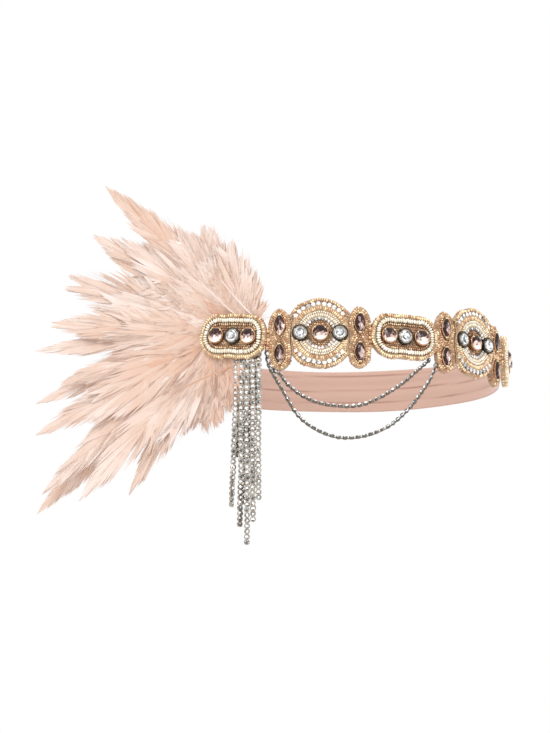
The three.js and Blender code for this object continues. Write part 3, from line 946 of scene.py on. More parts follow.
FINISHES = {
    "gold": gold_bead_finish,
    "cream": cream_bead_finish,
    "rose": lambda colours: stone_finish(
        "rose_glass", tuple(colours.rose_dark_reflection), tuple(colours.rose), 0.35
    ),
    "clear": lambda colours: stone_finish(
        "clear_glass", tuple(colours.clear_dark_reflection), tuple(colours.clear), 0.3
    ),
    "silver": lambda colours: metal_finish("silver_cups", tuple(colours.silver), 0.14),
    "gunmetal": lambda colours: metal_finish("gunmetal_cups", tuple(colours.gunmetal), 0.2),
    "steel": lambda colours: metal_finish("steel_cups", tuple(colours.steel), 0.2),
    "bronze": lambda colours: metal_finish("bronze_cups", tuple(colours.rose_gold_and_bead_shade), 0.22),
    # The claws' gold is painted 1.4 times lighter, as painted highlights on the prongs
    "claw": lambda colours: metal_finish("gold_claws", scaled(tuple(colours.gold), 1.4), 0.1),
    "ground": plate_finish,
    "velvet": velvet_finish,
    "feather": feather_finish,
}
made_finishes = {}


def finish_named(name):
    """One of the headband's materials, made the first time that it is asked for."""
    if name not in made_finishes:
        made_finishes[name] = FINISHES[name](bpy.context.scene.headband_colours)
    return made_finishes[name]


# The ornaments' beads, piping and stones


def row_places(sizes, row, outline):
    """Places of a row of beads along an outline, in the ornament's frame. Border rows wander a little."""
    points, ways = even_walk(outline(sizes, row.inset * MM), row.pitch * MM)
    turn = np.linspace(0, 2 * math.pi, len(points), endpoint=False)
    wander = (0.32 if row.inset < 1.5 else 0.1) * MM * (np.sin(7 * turn + 1) + 0.7 * np.sin(12 * turn + 4))
    across = unit(np.stack([-ways[:, 1], ways[:, 0]], 1))
    points = points + across * wander[:, None]
    return bead_places(row, points, ways), points


def floor_places(half_across, half_up):
    """A close field of small beads over an ornament's floor."""
    pitch = FLOOR_BEAD.pitch * MM
    across = np.arange(-half_across, half_across, pitch)
    up = np.arange(-half_up, half_up, pitch * 0.87)
    grid_x, grid_y = np.meshgrid(across, up)
    grid_x = grid_x + (np.arange(len(up))[:, None] % 2) * pitch / 2
    points = np.stack([grid_x.ravel(), grid_y.ravel()], 1)
    return bead_places(FLOOR_BEAD, points, np.tile([1.0, 0.0], (len(points), 1))), points


def jittered(places, rng, turn=0.12, shift=0.08 * MM):
    """The same places, each turned about itself and moved a little, as beads sewn by hand are."""
    count = len(places)
    angles = rng.normal(0, turn, count)
    cos, sin = np.cos(angles), np.sin(angles)
    twists = np.tile(np.eye(3), (count, 1, 1))
    twists[:, 0, 0], twists[:, 0, 1] = cos, -sin
    twists[:, 1, 0], twists[:, 1, 1] = sin, cos
    turned = places.copy()
    turned[:, :3, :3] = np.einsum("nij,njk->nik", twists, places[:, :3, :3])
    turned[:, :3, 3] += rng.normal(0, shift, (count, 3))
    return turned


def bead_ornament(layout, ornament, shapes, rng):
    """All of an ornament's beads, sewn in rows on its plate."""
    sizes = layout.sizes
    seat = layout.seat_of(ornament)
    seats = stone_seats(sizes, ornament)
    outlines = {"oval": oval_outline, "round": round_outline, "column": column_outline}
    rows = {"oval": OVAL_ROWS, "round": ROUND_ROWS, "column": COLUMN_ROWS}[ornament.kind]
    beads = Joined()

    def sew(places, points, row, margin=0.35):
        keep = np.ones(len(points), bool)
        for stone in seats:
            keep &= ~stone.covers(points, margin * MM)
        if ornament.kind == "round":
            keep &= ~bitten(layout, ornament, points)
        if row.shape == "crescent":
            keep &= np.abs(points[:, 1]) > 0.48 * sizes.round_diameter / 2
        kind = {"gold": 0, "cream": 1, "crystal": 2, "crescent": 2}[row.shape]
        shape = shapes["crystal"] if kind == 2 else shapes["bead"]
        places = jittered(places[keep], rng)
        tones = row.tone + rng.normal(0, 0.17, len(places))
        beads.add(shape, seat @ places, tones, kind)

    for row in rows:
        places, points = row_places(sizes, row, outlines[ornament.kind])
        sew(places, points, row)
    if ornament.kind == "oval":
        half_across = sizes.oval_length / 2 - FLOOR_BEAD.inset * MM
        half_up = sizes.oval_height / 2 - FLOOR_BEAD.inset * MM
        places, points = floor_places(half_across, half_up)
    elif ornament.kind == "round":
        for row in CUT_ROWS:
            sew(*cut_places(layout, ornament, row), row)
        places, points = floor_places(*ROUND_FLOOR)
        inside = np.hypot(points[:, 0], points[:, 1]) < ROUND_FLOOR_RADIUS
        places, points = places[inside], points[inside]
    else:
        places, points = floor_places(*COLUMN_FLOOR)
        places[:, 2, 3] += COLUMN_FLOOR_LIFT
    sew(places, points, FLOOR_BEAD)
    names = ("gold", "cream", "clear")
    piece = beads.build(f"{ornament.name}_beads", *[finish_named(name) for name in names])
    return wear(piece, "gold_beadwork")


# The beads that join two ornaments: their heights in millimetres and their radius
LINK_HEIGHTS = (-4.8, -2.4, 0, 2.4, 4.8)
LINK_RADIUS = 1.5 * MM


def sew_links(layout, shapes, rng):
    """The small gold beads that join each ornament to the next."""
    links = Joined()
    for one, other in zip(layout.run, layout.run[1:]):
        pair = {one.kind, other.kind}
        if pair != {"oval", "column"}:
            continue
        column = one if one.kind == "column" else other
        side = math.copysign(1, (other if column is one else one).along - column.along)
        seat = layout.seat_of(column)
        waist = float(column_half_width(layout.sizes, 0.0)) + 0.3 * MM
        reach = 1.5 if layout.raised in (one.out, other.out) else 0.6
        for up in LINK_HEIGHTS:
            spot = np.array([[side * (waist + (reach + abs(up) * 0.1) * MM), up * MM, 2.8 * MM]])
            place = places_on(spot, np.array([[1.0, 0.0]]), [LINK_RADIUS] * 3)
            links.add(shapes["bead"], seat @ place, 0.4 + rng.normal(0, 0.1))
    return wear(links.build("link_beads", finish_named("gold")), "gold_beadwork")


def pipe_oval(layout, ornament, shapes, rng):
    """The cream ring of an oval: beads sewn side by side across a cord."""
    places, _ = row_places(layout.sizes, PIPING_ROW, oval_outline)
    places = jittered(places, rng, 0.08)
    piping = Joined()
    tones = PIPING_ROW.tone + rng.normal(0, 0.14, len(places))
    piping.add(shapes["bead"], layout.seat_of(ornament) @ places, tones)
    piece = piping.build(f"{ornament.name}_piping_beads", finish_named("cream"))
    return wear(piece, "cream_piping", f"{ornament.name}_piping")


# A cup's section in shares of the stone's half width and of the cup's height
CUP_SECTION = [(0.8, 0.0), (0.95, 0.0), (1.0, 0.15), (1.0, 0.9), (0.96, 1.0), (0.86, 1.0), (0.8, 0.86)]
RIM_SECTION = [(0.62, 0.0), (0.84, 0.0), (0.84, 0.9), (0.79, 1.06), (0.7, 1.06), (0.62, 0.9)]


def shift(x=0.0, y=0.0, z=0.0):
    return np.array(Matrix.Translation((x, y, z)))


# A cup's foot over its ornament's seat, the height of a low and of a tall cup, and how far a pointed and a
# round stone rise over their cup
CUP_FOOT = 2.1 * MM
LOW_CUP = 2.0 * MM
TALL_CUP = 2.7 * MM
NAVETTE_CROWN = 1.2 * MM
STONE_CROWN = 1.5 * MM
CUP_STEPS = 28
CLAW_RADIUS = 0.62 * MM


def set_stone(layout, ornament, stone, rng):
    """One stone in its cup, with four claws over its edge."""
    seat = layout.seat_of(ornament) @ shift(stone.across, stone.up, CUP_FOOT)
    clear = stone.kind == "clear"
    navette = stone.kind == "navette"
    whole = Joined()
    wall = LOW_CUP if navette or clear and ornament.kind == "oval" else TALL_CUP
    share = 0.66 if clear else 0.86
    crown = NAVETTE_CROWN if navette else STONE_CROWN
    half_long = stone.half_long * (0.92 if navette else share)
    cut = stone_shape(rng, stone.half_wide * share, half_long, crown, stone.kind)
    whole.add(cut, seat @ shift(z=wall))
    section = [(radius, height * wall) for radius, height in CUP_SECTION]
    cup = turned_shape(section, CUP_STEPS)
    if navette:
        flat = np.copy(cup.points)
        radius = np.hypot(flat[:, 0], flat[:, 1])
        across, up = flat[:, 0] / radius, flat[:, 1] / radius
        cup.points[:, 0] = np.sign(across) * across**2 * radius * stone.half_wide
        cup.points[:, 1] = up * radius * stone.half_long
    else:
        cup.points[:, :2] *= stone.half_wide
    whole.add(cup, seat, 0.5, 1)
    if clear:
        rim = turned_shape([(radius, height * wall) for radius, height in RIM_SECTION], CUP_STEPS)
        rim.points[:, :2] *= stone.half_wide
        whole.add(rim, seat, 0.5, 2)
    claw = claw_shape()
    for quarter in range(4):
        angle = math.pi / 4 + quarter * math.pi / 2
        if navette:
            angle = math.copysign(1, math.sin(angle)) * (math.pi / 2 - 0.35 * (-1) ** quarter)
        x = math.cos(angle)
        y = math.sin(angle)
        if navette:
            x = math.copysign(x * x, x)
        place = shift(x * stone.half_wide * 0.84, y * stone.half_long * 0.86, wall + 0.15 * MM)
        whole.add(claw, seat @ place, 0.6, 1 if clear else 2)
    names = ("clear", "gunmetal", "silver") if clear else ("rose", "bronze", "claw")
    piece = whole.build(f"{stone.node}_cut", *[finish_named(name) for name in names])
    return wear(piece, f"{names[0]}_stone", stone.node)


def claw_shape():
    bm = bmesh.new()
    bmesh.ops.create_icosphere(bm, subdivisions=1, radius=CLAW_RADIUS)
    return Shape(smoothed(bm))


# Chains


def rounded_route(points, count=400):
    """A smooth line through points, as an array."""
    points = np.asarray(points, float)
    padded = np.vstack([2 * points[0] - points[1], points, 2 * points[-1] - points[-2]])
    at = np.linspace(0, len(points) - 1 - 1e-9, count)
    index = at.astype(int)
    t = (at - index)[:, None]
    a, b, c, d = (padded[index + k] for k in range(4))
    return 0.5 * (
        2 * b + (c - a) * t + (2 * a - 5 * b + 4 * c - d) * t**2 + (3 * b - a - 3 * c + d) * t**3
    )


def string_cups(chain, route, outward, pitch, diameter, cups, rng, twist):
    """Cups along a route, turned from facing out by the twist, with a flat link between each two."""
    points, ways = even_walk(route, pitch, closed=False)
    ways = unit(ways)
    side = unit(np.cross(ways, outward(points)))
    out = np.cross(side, ways)
    roll = rng.normal(0, 0.16, len(points)) + twist(np.linspace(0, 1, len(points)))
    cos, sin = np.cos(roll)[:, None], np.sin(roll)[:, None]
    side, out = side * cos + out * sin, out * cos - side * sin
    places = np.zeros((len(points), 4, 4))
    places[:, :3, 0], places[:, :3, 1], places[:, :3, 2] = side, ways, out
    places[:, :3, 3] = points - out * diameter * 0.3
    places[:, 3, 3] = 1
    kinds = rng.integers(0, len(cups), len(points))
    for index, cup in enumerate(cups):
        chosen = kinds == index
        chain.add(cup, places[chosen], rng.normal(0, 0.08, chosen.sum()))
    between = (places[1:] + places[:-1]) / 2
    between[:, :3, :3] *= np.array([0.7 * MM, pitch * 0.5, 0.55 * MM])
    between[:, :3, 3] += out[1:] * 0.35 * MM
    chain.add(bar_shape(), between, 0.35)


def cups_for(rng, diameter, tall, stretch, rim):
    return [cup_chain_shape(rng, diameter / 2, diameter * tall, stretch, rim) for _ in range(6)]


# The swags: shares of the way along between their two ends and of their drop. The upper one's first links
# lie before the lower one, this far out in millimetres.
UPPER_SWAG_START = [(-0.076, 0.19, 2.3), (-0.068, 0.335, 2.3), (-0.043, 0.47, 2.0), (-0.017, 0.535, 1.0)]
UPPER_SWAG = [
    (0, 0.55), (0.055, 0.704), (0.155, 0.868), (0.274, 0.971), (0.416, 1), (0.508, 0.983),
    (0.584, 0.933), (0.671, 0.839), (0.749, 0.731), (0.821, 0.623), (0.894, 0.488), (1, 0.293),
]
LOWER_SWAG = [
    (0, 0.11), (0.006, 0.217), (0.022, 0.32), (0.094, 0.535), (0.18, 0.778), (0.287, 0.926), (0.423, 1),
    (0.576, 0.97), (0.711, 0.862), (0.83, 0.68), (0.919, 0.493), (0.975, 0.35), (1, 0.246),
]
SWAG_INSET = 0.5 * MM
SWAG_OUT = 1.35 * MM
TASSEL_HEAD_WIDTH = 16.4 * MM


def hang_swag(layout, name, start, end, drop, rows, rng, first=()):
    sizes = layout.sizes
    shares = np.array([*first, *[(*row, 0) for row in rows]], float)
    distances = sizes.run_centre + start + (end - start) * shares[:, 0]
    points, _, _ = layout.loop.spots(distances, layout.backing + SWAG_OUT + shares[:, 2] * MM)
    points[:, 2] = -shares[:, 1] * drop
    route = rounded_route(points)

    def outward(at):
        scale = np.array([1 / layout.loop.half[0] ** 2, 1 / layout.loop.half[1] ** 2, 0])
        return unit(at * scale)

    def twist(share):
        """The stones lie towards the inside of the curve, but face out over the first links."""
        turned = np.clip((share - 0.05) / 0.1, 0.1, 1) if first else 1
        return (1.05 + 0.25 * np.sin(share * 25 + drop * 400)) * turned

    chain = Joined()
    cups = cups_for(rng, sizes.swag_stone, 0.8, 1.45, 0.2)
    string_cups(chain, route, outward, sizes.swag_pitch, sizes.swag_stone, cups, rng, twist)
    piece = chain.build(f"{name}_stones", finish_named("steel"), finish_named("clear"))
    return wear(piece, "silver_chain", name)


# The tassel's strands: place and drift of the end in pitches, drop as a share of the longest, how far
# behind the front row in millimetres, and half turns by the end
TasselStrand = namedtuple("TasselStrand", "place drift drop behind turns")
TASSEL_STRANDS = [
    TasselStrand(-2, -0.75, 0.79, 0, 0.55),
    TasselStrand(-1, -0.3, 0.9, 0, 0.45),
    TasselStrand(0, -0.1, 1, 0, 0.2),
    TasselStrand(1, 0, 0.88, 0, 0.15),
    TasselStrand(2, 0, 0.765, 0, 0.1),
    TasselStrand(-1.5, -0.55, 0.52, 2.3, 0.3),
    TasselStrand(-0.5, -0.2, 0.78, 2.3, 0.3),
    TasselStrand(0.5, 0.2, 0.84, 2.3, 0.3),
    TasselStrand(1.5, 0.1, 0.7, 2.3, 0.2),
]
TASSEL_TOP = 8 * MM
TASSEL_HEAD = 4 * MM


def hang_tassel(layout, rng):
    sizes = layout.sizes
    seat = layout.side_seat()
    chain = Joined()
    cups = cups_for(rng, sizes.tassel_stone, 0.5, 1.0, 0.36)
    depth = sizes.pad_thickness / 2
    for strand in TASSEL_STRANDS:
        x = sizes.tassel_shift + strand.place * sizes.strand_pitch
        drift = strand.drift * sizes.strand_pitch
        top = -TASSEL_TOP - TASSEL_HEAD * 0.75
        end = -TASSEL_TOP - TASSEL_HEAD - strand.drop * sizes.tassel_drop
        z = depth - strand.behind * MM
        sway = rng.normal(0, 0.25 * MM)
        corners = [
            (x, top, z if not strand.behind else depth - 0.4 * MM),
            (x + drift * 0.15 + sway, top * 0.7 + end * 0.3, z),
            (x + drift * 0.4 - sway, top * 0.4 + end * 0.6, z),
            (x + drift, end, z),
        ]
        route = rounded_route(corners, 200)
        route = route @ seat[:3, :3].T + seat[:3, 3]
        turns = strand.turns * math.pi

        def twist(share, turns=turns):
            return turns * np.clip(share - 0.45, 0, 1) * 1.8

        string_cups(
            chain,
            route,
            lambda at: np.tile(seat[:3, 2], (len(at), 1)),
            sizes.tassel_pitch,
            sizes.tassel_stone,
            cups,
            rng,
            twist,
        )
    head = np.eye(4)
    head[:3, :3] = np.diag([TASSEL_HEAD_WIDTH, TASSEL_HEAD, sizes.pad_thickness])
    head[:3, 3] = (sizes.tassel_shift, -TASSEL_TOP - TASSEL_HEAD / 2, depth)
    chain.add(rounded_bar(), seat @ head, 0.4)
    piece = chain.build("chain_tassel_stones", finish_named("silver"), finish_named("clear"))
    return wear(piece, "silver_chain", "chain_tassel")


def rounded_bar():
    """A block of side 1 with rounded edges."""
    bm = bmesh.new()
    bmesh.ops.create_cube(bm, size=1)
    bmesh.ops.bevel(
        bm, geom=bm.edges[:], affect="EDGES", offset=0.08, segments=2, profile=0.5, material=-1
    )
    return Shape(smoothed(bm))


# The elastic

# Creases across the elastic: share of its height, and how far out each stands
ELASTIC_FOLDS = [(-0.5, 0.2), (-0.3, 0.9), (-0.1, 0.3), (0.12, 0.9), (0.3, 0.2), (0.5, 0.7)]

# Fine lines of painted shade along the elastic, where its creases fall in shadow, as shares of its height
ELASTIC_SHADE_LINES = (-0.27, 0.02, 0.38)

# The elastic's mesh in steps along and across, and how many small gathers it has
ELASTIC_GRID = (300, 26)
ELASTIC_GATHERS = 150


def fold_at(height):
    """How far out the elastic stands at a share of its height, with rounded creases."""
    at = np.array([row[0] for row in ELASTIC_FOLDS])
    out = np.array([row[1] for row in ELASTIC_FOLDS])
    height = np.clip(height, -0.5, 0.5)
    index = np.clip(np.searchsorted(at, height) - 1, 0, len(at) - 2)
    share = (height - at[index]) / (at[index + 1] - at[index])
    eased = share * share * (3 - 2 * share)
    return out[index] + (out[index + 1] - out[index]) * eased


def gather_elastic(layout):
    """The velvet elastic round the back, creased lengthwise and a little gathered."""
    sizes = layout.sizes
    start = sizes.run_centre + layout.half_run - sizes.elastic_overlap
    end = sizes.run_centre + layout.loop.total - layout.half_run + sizes.elastic_overlap
    bm = bmesh.new()
    bm.loops.layers.uv.verify()
    across, up = ELASTIC_GRID
    bmesh.ops.create_grid(bm, x_segments=across, y_segments=up, size=0.5, calc_uvs=True)
    mesh = bpy.data.meshes.new("elastic_velvet")
    smoothed(bm).to_mesh(mesh)
    bm.free()
    flat = np.zeros(len(mesh.vertices) * 3)
    mesh.vertices.foreach_get("co", flat)
    flat = flat.reshape(-1, 3)
    along, height = flat[:, 0] + 0.5, flat[:, 1]
    distance = start + (end - start) * along
    wander = 0.035 * np.sin(along * 17) + 0.02 * np.sin(along * 41 + 1.3)
    easing = np.clip(1 - np.abs(height) * 2, 0, 1)
    fold = fold_at(height + wander * easing)
    gathers = np.sin(along * 2 * math.pi * ELASTIC_GATHERS + 3 * np.sin(along * 23))
    gathers *= np.sin(height * 9 + along * 60)
    out = sizes.elastic_wall / 2 + fold * sizes.elastic_fold + gathers * 0.07 * MM
    points, _, _ = layout.loop.spots(distance, out)
    edge = 1 - 0.012 * np.cos(along * 31)
    points[:, 2] = height * sizes.elastic_height * edge
    mesh.vertices.foreach_set("co", points.astype(np.float32).ravel())
    # Painted shade: darker in the creases, where the folds slope, and along the fine crease lines
    slope = np.abs(fold_at(height + wander * easing + 0.02) - fold_at(height + wander * easing - 0.02))
    crease = np.exp(-(fold**2) / 0.02)
    lines = sum(np.exp(-(((height + wander * 0.4 - line) / 0.014) ** 2)) for line in ELASTIC_SHADE_LINES)
    tones = 0.6 - 0.1 * crease - 0.12 * slope - 0.22 * lines
    add_layer(mesh, "tone", "POINT", tones)
    mesh.update()
    piece = show("elastic_velvet", mesh, finish_named("velvet"))
    wall = piece.modifiers.new("Wall", "SOLIDIFY")
    wall.thickness = sizes.elastic_wall
    wall.offset = 0
    wear(piece, "elastic", "elastic_band")
    end - start
    return piece


# The feathers

# Angle up from straight back in degrees, length and breadth as shares of the longest and broadest feather,
# lean as a share of the fan's depth, droop as a share of its own length, how grey its fringe is, and how
# blunt its tip is
Feather = namedtuple("Feather", "angle length breadth lean droop grey blunt")
HACKLES = [
    Feather(84, 0.25, 0.62, 0.2, 0.02, 0.2, 1),
    Feather(77, 0.33, 0.8, 0.75, 0.03, 0.35, 1),
    Feather(66, 0.41, 0.95, 0.35, 0.02, 0.3, 1),
    Feather(55, 0.48, 0.8, 0.6, 0.02, 0.2, 1),
    Feather(50, 0.82, 0.72, 0.5, 0.05, 0, 0),
    Feather(36, 0.75, 0.85, 0.15, 0.03, 0, 0.1),
    Feather(40, 0.62, 0.9, 0.7, 0.03, 0.4, 0.2),
    Feather(21, 0.74, 1, 0.4, 0.03, 0.3, 0.6),
    Feather(7, 0.74, 0.85, 0.8, 0.02, 0, 0.2),
    Feather(1, 0.83, 0.6, 0.3, 0.03, 0.1, 0),
    Feather(-10, 0.71, 0.7, 0.65, 0.04, 0, 0.1),
    Feather(-12, 0.85, 0.6, 0.1, 0.04, 0.1, 0),
    Feather(-22, 0.84, 0.95, 0.85, 0.05, 0.1, 0),
    Feather(-33, 0.94, 0.8, 0.45, 0.08, 0.1, 0),
    Feather(-34, 1.02, 0.8, 0.05, 0.08, 0, 0),
    Feather(-43, 0.84, 0.9, 0.7, 0.07, 0.1, 0),
    Feather(-52, 0.71, 0.7, 0.25, 0.08, 0.2, 0),
    Feather(-57, 0.47, 0.8, 0.8, 0.04, 0.4, 0.8),
    Feather(-64, 0.36, 0.62, 0.4, 0.03, 0.3, 1),
]

# Half widths along a feather as shares of its length and breadth, for a pointed and for a blunt one
FEATHER_OUTLINE = [
    (0, 0.05, 0.12), (0.14, 0.3, 0.34), (0.32, 0.5, 0.47), (0.5, 0.53, 0.5), (0.66, 0.42, 0.5),
    (0.8, 0.28, 0.46), (0.9, 0.17, 0.38), (0.96, 0.09, 0.31), (1, 0.01, 0.22),
]

# How far the fan is filled between its tips at each angle, in millimetres
FILL_REACH = [
    (-60, 62), (-52, 72), (-45, 76), (-41, 90), (-37, 104), (-31, 96), (-28, 88), (-23, 92), (-17, 78),
    (-12, 76), (-6, 58), (-1, 74), (4, 84), (10, 84), (18, 88), (26, 68), (34, 78), (38, 72), (42, 68),
    (47, 84), (50, 74), (56, 70), (70, 54), (84, 33),
]

# How far the soft down reaches at each angle, in millimetres
DOWN_REACH = [
    (-98, 48), (-86, 50), (-75, 55), (-64, 63), (-54, 71), (-48, 76), (-35, 74), (-15, 72), (5, 74),
    (25, 78), (49, 83), (56, 77), (65, 66), (75, 54), (79, 44), (86, 28), (96, 14),
]


def feather_line(sizes, feather, shares):
    """Points down the middle of a feather, in the plume's frame."""
    reach = shares * feather.length * sizes.feather_reach
    free = np.maximum(0, (reach - sizes.pad_width) / (sizes.feather_reach - sizes.pad_width))
    x = -reach
    y = -feather.droop * reach**2 / (feather.length * sizes.feather_reach)
    z = feather.lean * sizes.fan_depth * free**1.5
    angle = math.radians(feather.angle)
    cos, sin = math.cos(angle), math.sin(angle)
    spread = sizes.quill_spread * sin
    return np.stack(
        [
            x * cos + y * sin + spread,
            y * cos - x * sin + sizes.pad_rise,
            z + sizes.pad_thickness / 2,
        ],
        axis=1,
    )


class Plumage:
    """Barbs and shafts, gathered for one piece with a tone and a grey for every corner."""

    def __init__(self, sizes, seat):
        self.sizes = sizes
        self.seat = seat
        self.joined = Joined()
        self.greys = []

    def add(self, shape, points, tones, greys):
        """Shapes with a tone and a grey at each of their points, in the plume's frame."""
        placed = points @ self.seat[:3, :3].T + self.seat[:3, 3]
        self.joined.add_bent(shape, placed, tones[:, shape.corners])
        self.greys.append(greys[:, shape.corners].ravel())

    def build(self, name):
        piece = self.joined.build(name, finish_named("feather"))
        add_layer(piece.data, "grey", "CORNER", np.concatenate(self.greys))
        return piece


# How the barbs of a feather lie: how many a side on a feather as long as the reach, half their width and the
# length of a lock in millimetres, how far forward they sweep for their breadth and beyond it, how ragged
# their ends are as a share of their breadth, how loosely they lie, and how thick they are for their width
Barbs = namedtuple("Barbs", "count half_width lock sweep ahead ragged loose thick")
HACKLE_BARBS = Barbs(190, 0.13, 5.5, 1.5, 9, 0.08, 0.3, 0.5)
HACKLE_LOCKS = Barbs(115, 1.1, 5.5, 1.5, 9, 0.06, 0.1, 0.06)
DOWN_BARBS = Barbs(360, 0.1, 3.5, 0.75, 7, 0.22, 1.2, 0.5)
DOWN_LOCKS = Barbs(105, 1.1, 3.5, 0.75, 6, 0.1, 0.4, 0.06)


def grow_barbs(plumage, feather, barbs, spike, rng, lightness):
    """Both sides of a feather: barbs that sweep forward from the shaft to its outline, in ragged locks."""
    sizes = plumage.sizes
    whole = feather.length * sizes.feather_reach
    stations, pointed, blunt = np.array(FEATHER_OUTLINE, float).T
    halves = pointed + (blunt - pointed) * feather.blunt
    broad = feather.breadth * sizes.feather_breadth
    for side in (-1, 1):
        count = int(barbs.count * whole / sizes.feather_reach)
        share = np.sort(rng.uniform(0.0, 0.91, count))
        lock = np.floor(share * whole / (barbs.lock * MM) + rng.random()).astype(int)
        lock_noise = rng.normal(0, 1, (lock.max() + 1, 4))[lock]
        calm = np.clip((1 - share) * 3, 0.25, 1)
        half_here = np.interp(share, stations, halves) * broad
        sweep = half_here * barbs.sweep + barbs.ahead * MM
        sweep *= 1 + 0.22 * lock_noise[:, 0] * calm + rng.normal(0, 0.08, count)
        end_share = share + sweep / whole
        over_tip = np.maximum(end_share - 1, 0)
        end_share = np.minimum(end_share, 1.0) + over_tip * 0.2
        half_there = np.interp(np.minimum(end_share, 1), stations, halves) * broad
        half_there *= 1 + barbs.ragged * (lock_noise[:, 1] * calm + rng.normal(0, 0.7, count))
        half_there *= 1 - 0.55 * rng.random(count) ** 3
        foot = feather_line(sizes, feather, share)
        spine = feather_line(sizes, feather, end_share)
        ahead = unit(feather_line(sizes, feather, end_share + 0.01) - spine)
        across = unit(np.cross([0, 0, 1.0], ahead) * side)
        over = np.cross(ahead, across) * side
        tip = spine + across * half_there[:, None] - over * (half_there * 0.16)[:, None]
        room = np.clip(half_there / (4 * MM), 0.25, 1)[:, None]
        tip += over * (lock_noise[:, 2] * 0.9 * MM)[:, None] * room
        tip += rng.normal(0, barbs.loose * MM, (count, 3)) * room
        bend = foot + (spine - foot) * 0.3 + across * (half_there * 0.62)[:, None]
        bend += over * (half_there * 0.1)[:, None]
        u = spike.points[:, 2]
        middle = (
            foot[:, None, :] * ((1 - u) ** 2)[None, :, None]
            + bend[:, None, :] * (2 * u * (1 - u))[None, :, None]
            + tip[:, None, :] * (u**2)[None, :, None]
        )
        flank = np.cross(unit(tip - foot), over)
        half = barbs.half_width * MM * rng.uniform(0.7, 1.3, count)
        points = (
            middle
            + flank[:, None, :] * (half[:, None] * spike.points[None, :, 0])[..., None]
            + over[:, None, :] * (barbs.thick * half[:, None] * spike.points[None, :, 1])[..., None]
        )
        tone = lightness + 0.05 * lock_noise[:, 3] + rng.normal(0, 0.03, count)
        # Painted light: each barb is lighter towards its tip, and each feather lighter towards its tip and
        # darker near its base, where the feathers overlap in shade
        tones = tone[:, None] + (u * 0.14 - 0.05)[None, :]
        tones = tones + (0.2 * share**2 - 0.16 * np.exp(-share * 7))[:, None]
        greys = feather.grey * np.clip(share - 0.25, 0, 1)[:, None] * (u**2)[None, :] * 1.2
        plumage.add(spike, points, tones, greys)


def grow_shaft(plumage, feather, tube, lightness, thick=0.42, start=0.0, end=0.88):
    """The pale quill down the middle of a feather."""
    sizes = plumage.sizes
    u = tube.points[:, 2]
    line = feather_line(sizes, feather, start + (end - start) * u)
    ahead = unit(feather_line(sizes, feather, start + (end - start) * u + 0.01) - line)
    across = np.cross([0, 0, 1.0], ahead)
    over = np.cross(across, ahead)
    half = (thick * (1 - 0.85 * u) * MM)[:, None]
    points = line + across * tube.points[:, :1] * half + over * tube.points[:, 1:2] * half
    points[:, 2] += 0.25 * MM
    tones = np.full((1, len(u)), lightness)
    plumage.add(tube, points[None], tones, np.zeros((1, len(u))))


def lay_quill(plumage, quill, tube):
    """A bare quill that rises from behind the oval and lies over the down."""
    u = tube.points[:, 2:]
    foot = np.array([quill.foot_across, quill.foot_up, 1.5]) * MM
    tip = np.array([quill.tip_across, quill.tip_up, 8.0]) * MM
    ahead = unit(tip - foot)
    across = unit(np.cross([0, 0, 1.0], ahead))
    over = np.cross(ahead, across)
    half = quill.half * MM * (1 - 0.5 * u)
    line = foot + (tip - foot) * u + over * 2.5 * MM * np.sin(math.pi * u)
    points = line + (across * tube.points[:, :1] + over * tube.points[:, 1:2]) * half
    plumage.add(tube, points[None], np.full((1, len(u)), quill.tone), np.zeros((1, len(u))))


def leaf_shape():
    """A lock of barbs that lie together: broad in its lower half and pointed at height 1."""
    leaf = cut_cone(3, 0, (0.25, 0.5, 0.75))
    leaf.points[:, :2] *= 1 + 2.6 * leaf.points[:, 2:]
    leaf.smooth[:] = False
    return leaf


def companions(sizes, feather, rng):
    """A feather and the two shorter ones that lie beside it."""
    yield feather
    angles, reaches = np.array(FILL_REACH, float).T
    for side in (-1, 1):
        angle = feather.angle + side * rng.uniform(3, 6)
        filled = np.interp(angle - math.degrees(feather.droop), angles, reaches) * MM
        yield feather._replace(
            angle=angle,
            length=min(feather.length * rng.uniform(0.72, 0.86), filled / sizes.feather_reach),
            breadth=feather.breadth * rng.uniform(0.85, 1.1),
            lean=min(0.95, max(0.02, feather.lean + rng.normal(0, 0.15))),
            blunt=max(feather.blunt, 0.35),
        )


def down_feathers(sizes, rng):
    """Soft blunt feathers round the pad, in three layers."""
    angles, reaches = np.array(DOWN_REACH, float).T
    for layer in range(3):
        for angle in np.arange(angles[0] + 3 * layer, angles[-1], 9.5):
            reach = np.interp(angle, angles, reaches) * rng.uniform(0.92, 1.03) * (1 - 0.15 * layer)
            grey = 0.5 if angle > 58 or angle < -48 else 0.12
            yield Feather(
                angle + rng.normal(0, 1.5),
                reach * MM / sizes.feather_reach,
                rng.uniform(0.62, 0.85),
                0.3 + 0.25 * layer,
                0.02,
                grey,
                1,
            )


# Bare quills that show over the down, in millimetres from the oval's middle: foot across and up, tip across
# and up, half thickness, and tone
Quill = namedtuple("Quill", "foot_across foot_up tip_across tip_up half tone")
QUILLS = [
    Quill(4, 9, -20, 33.5, 0.65, 0.8),
    Quill(13.5, 8, -6, 32, 0.65, 0.8),
    Quill(-3, -17, -37, -31, 0.55, 0.16),
]


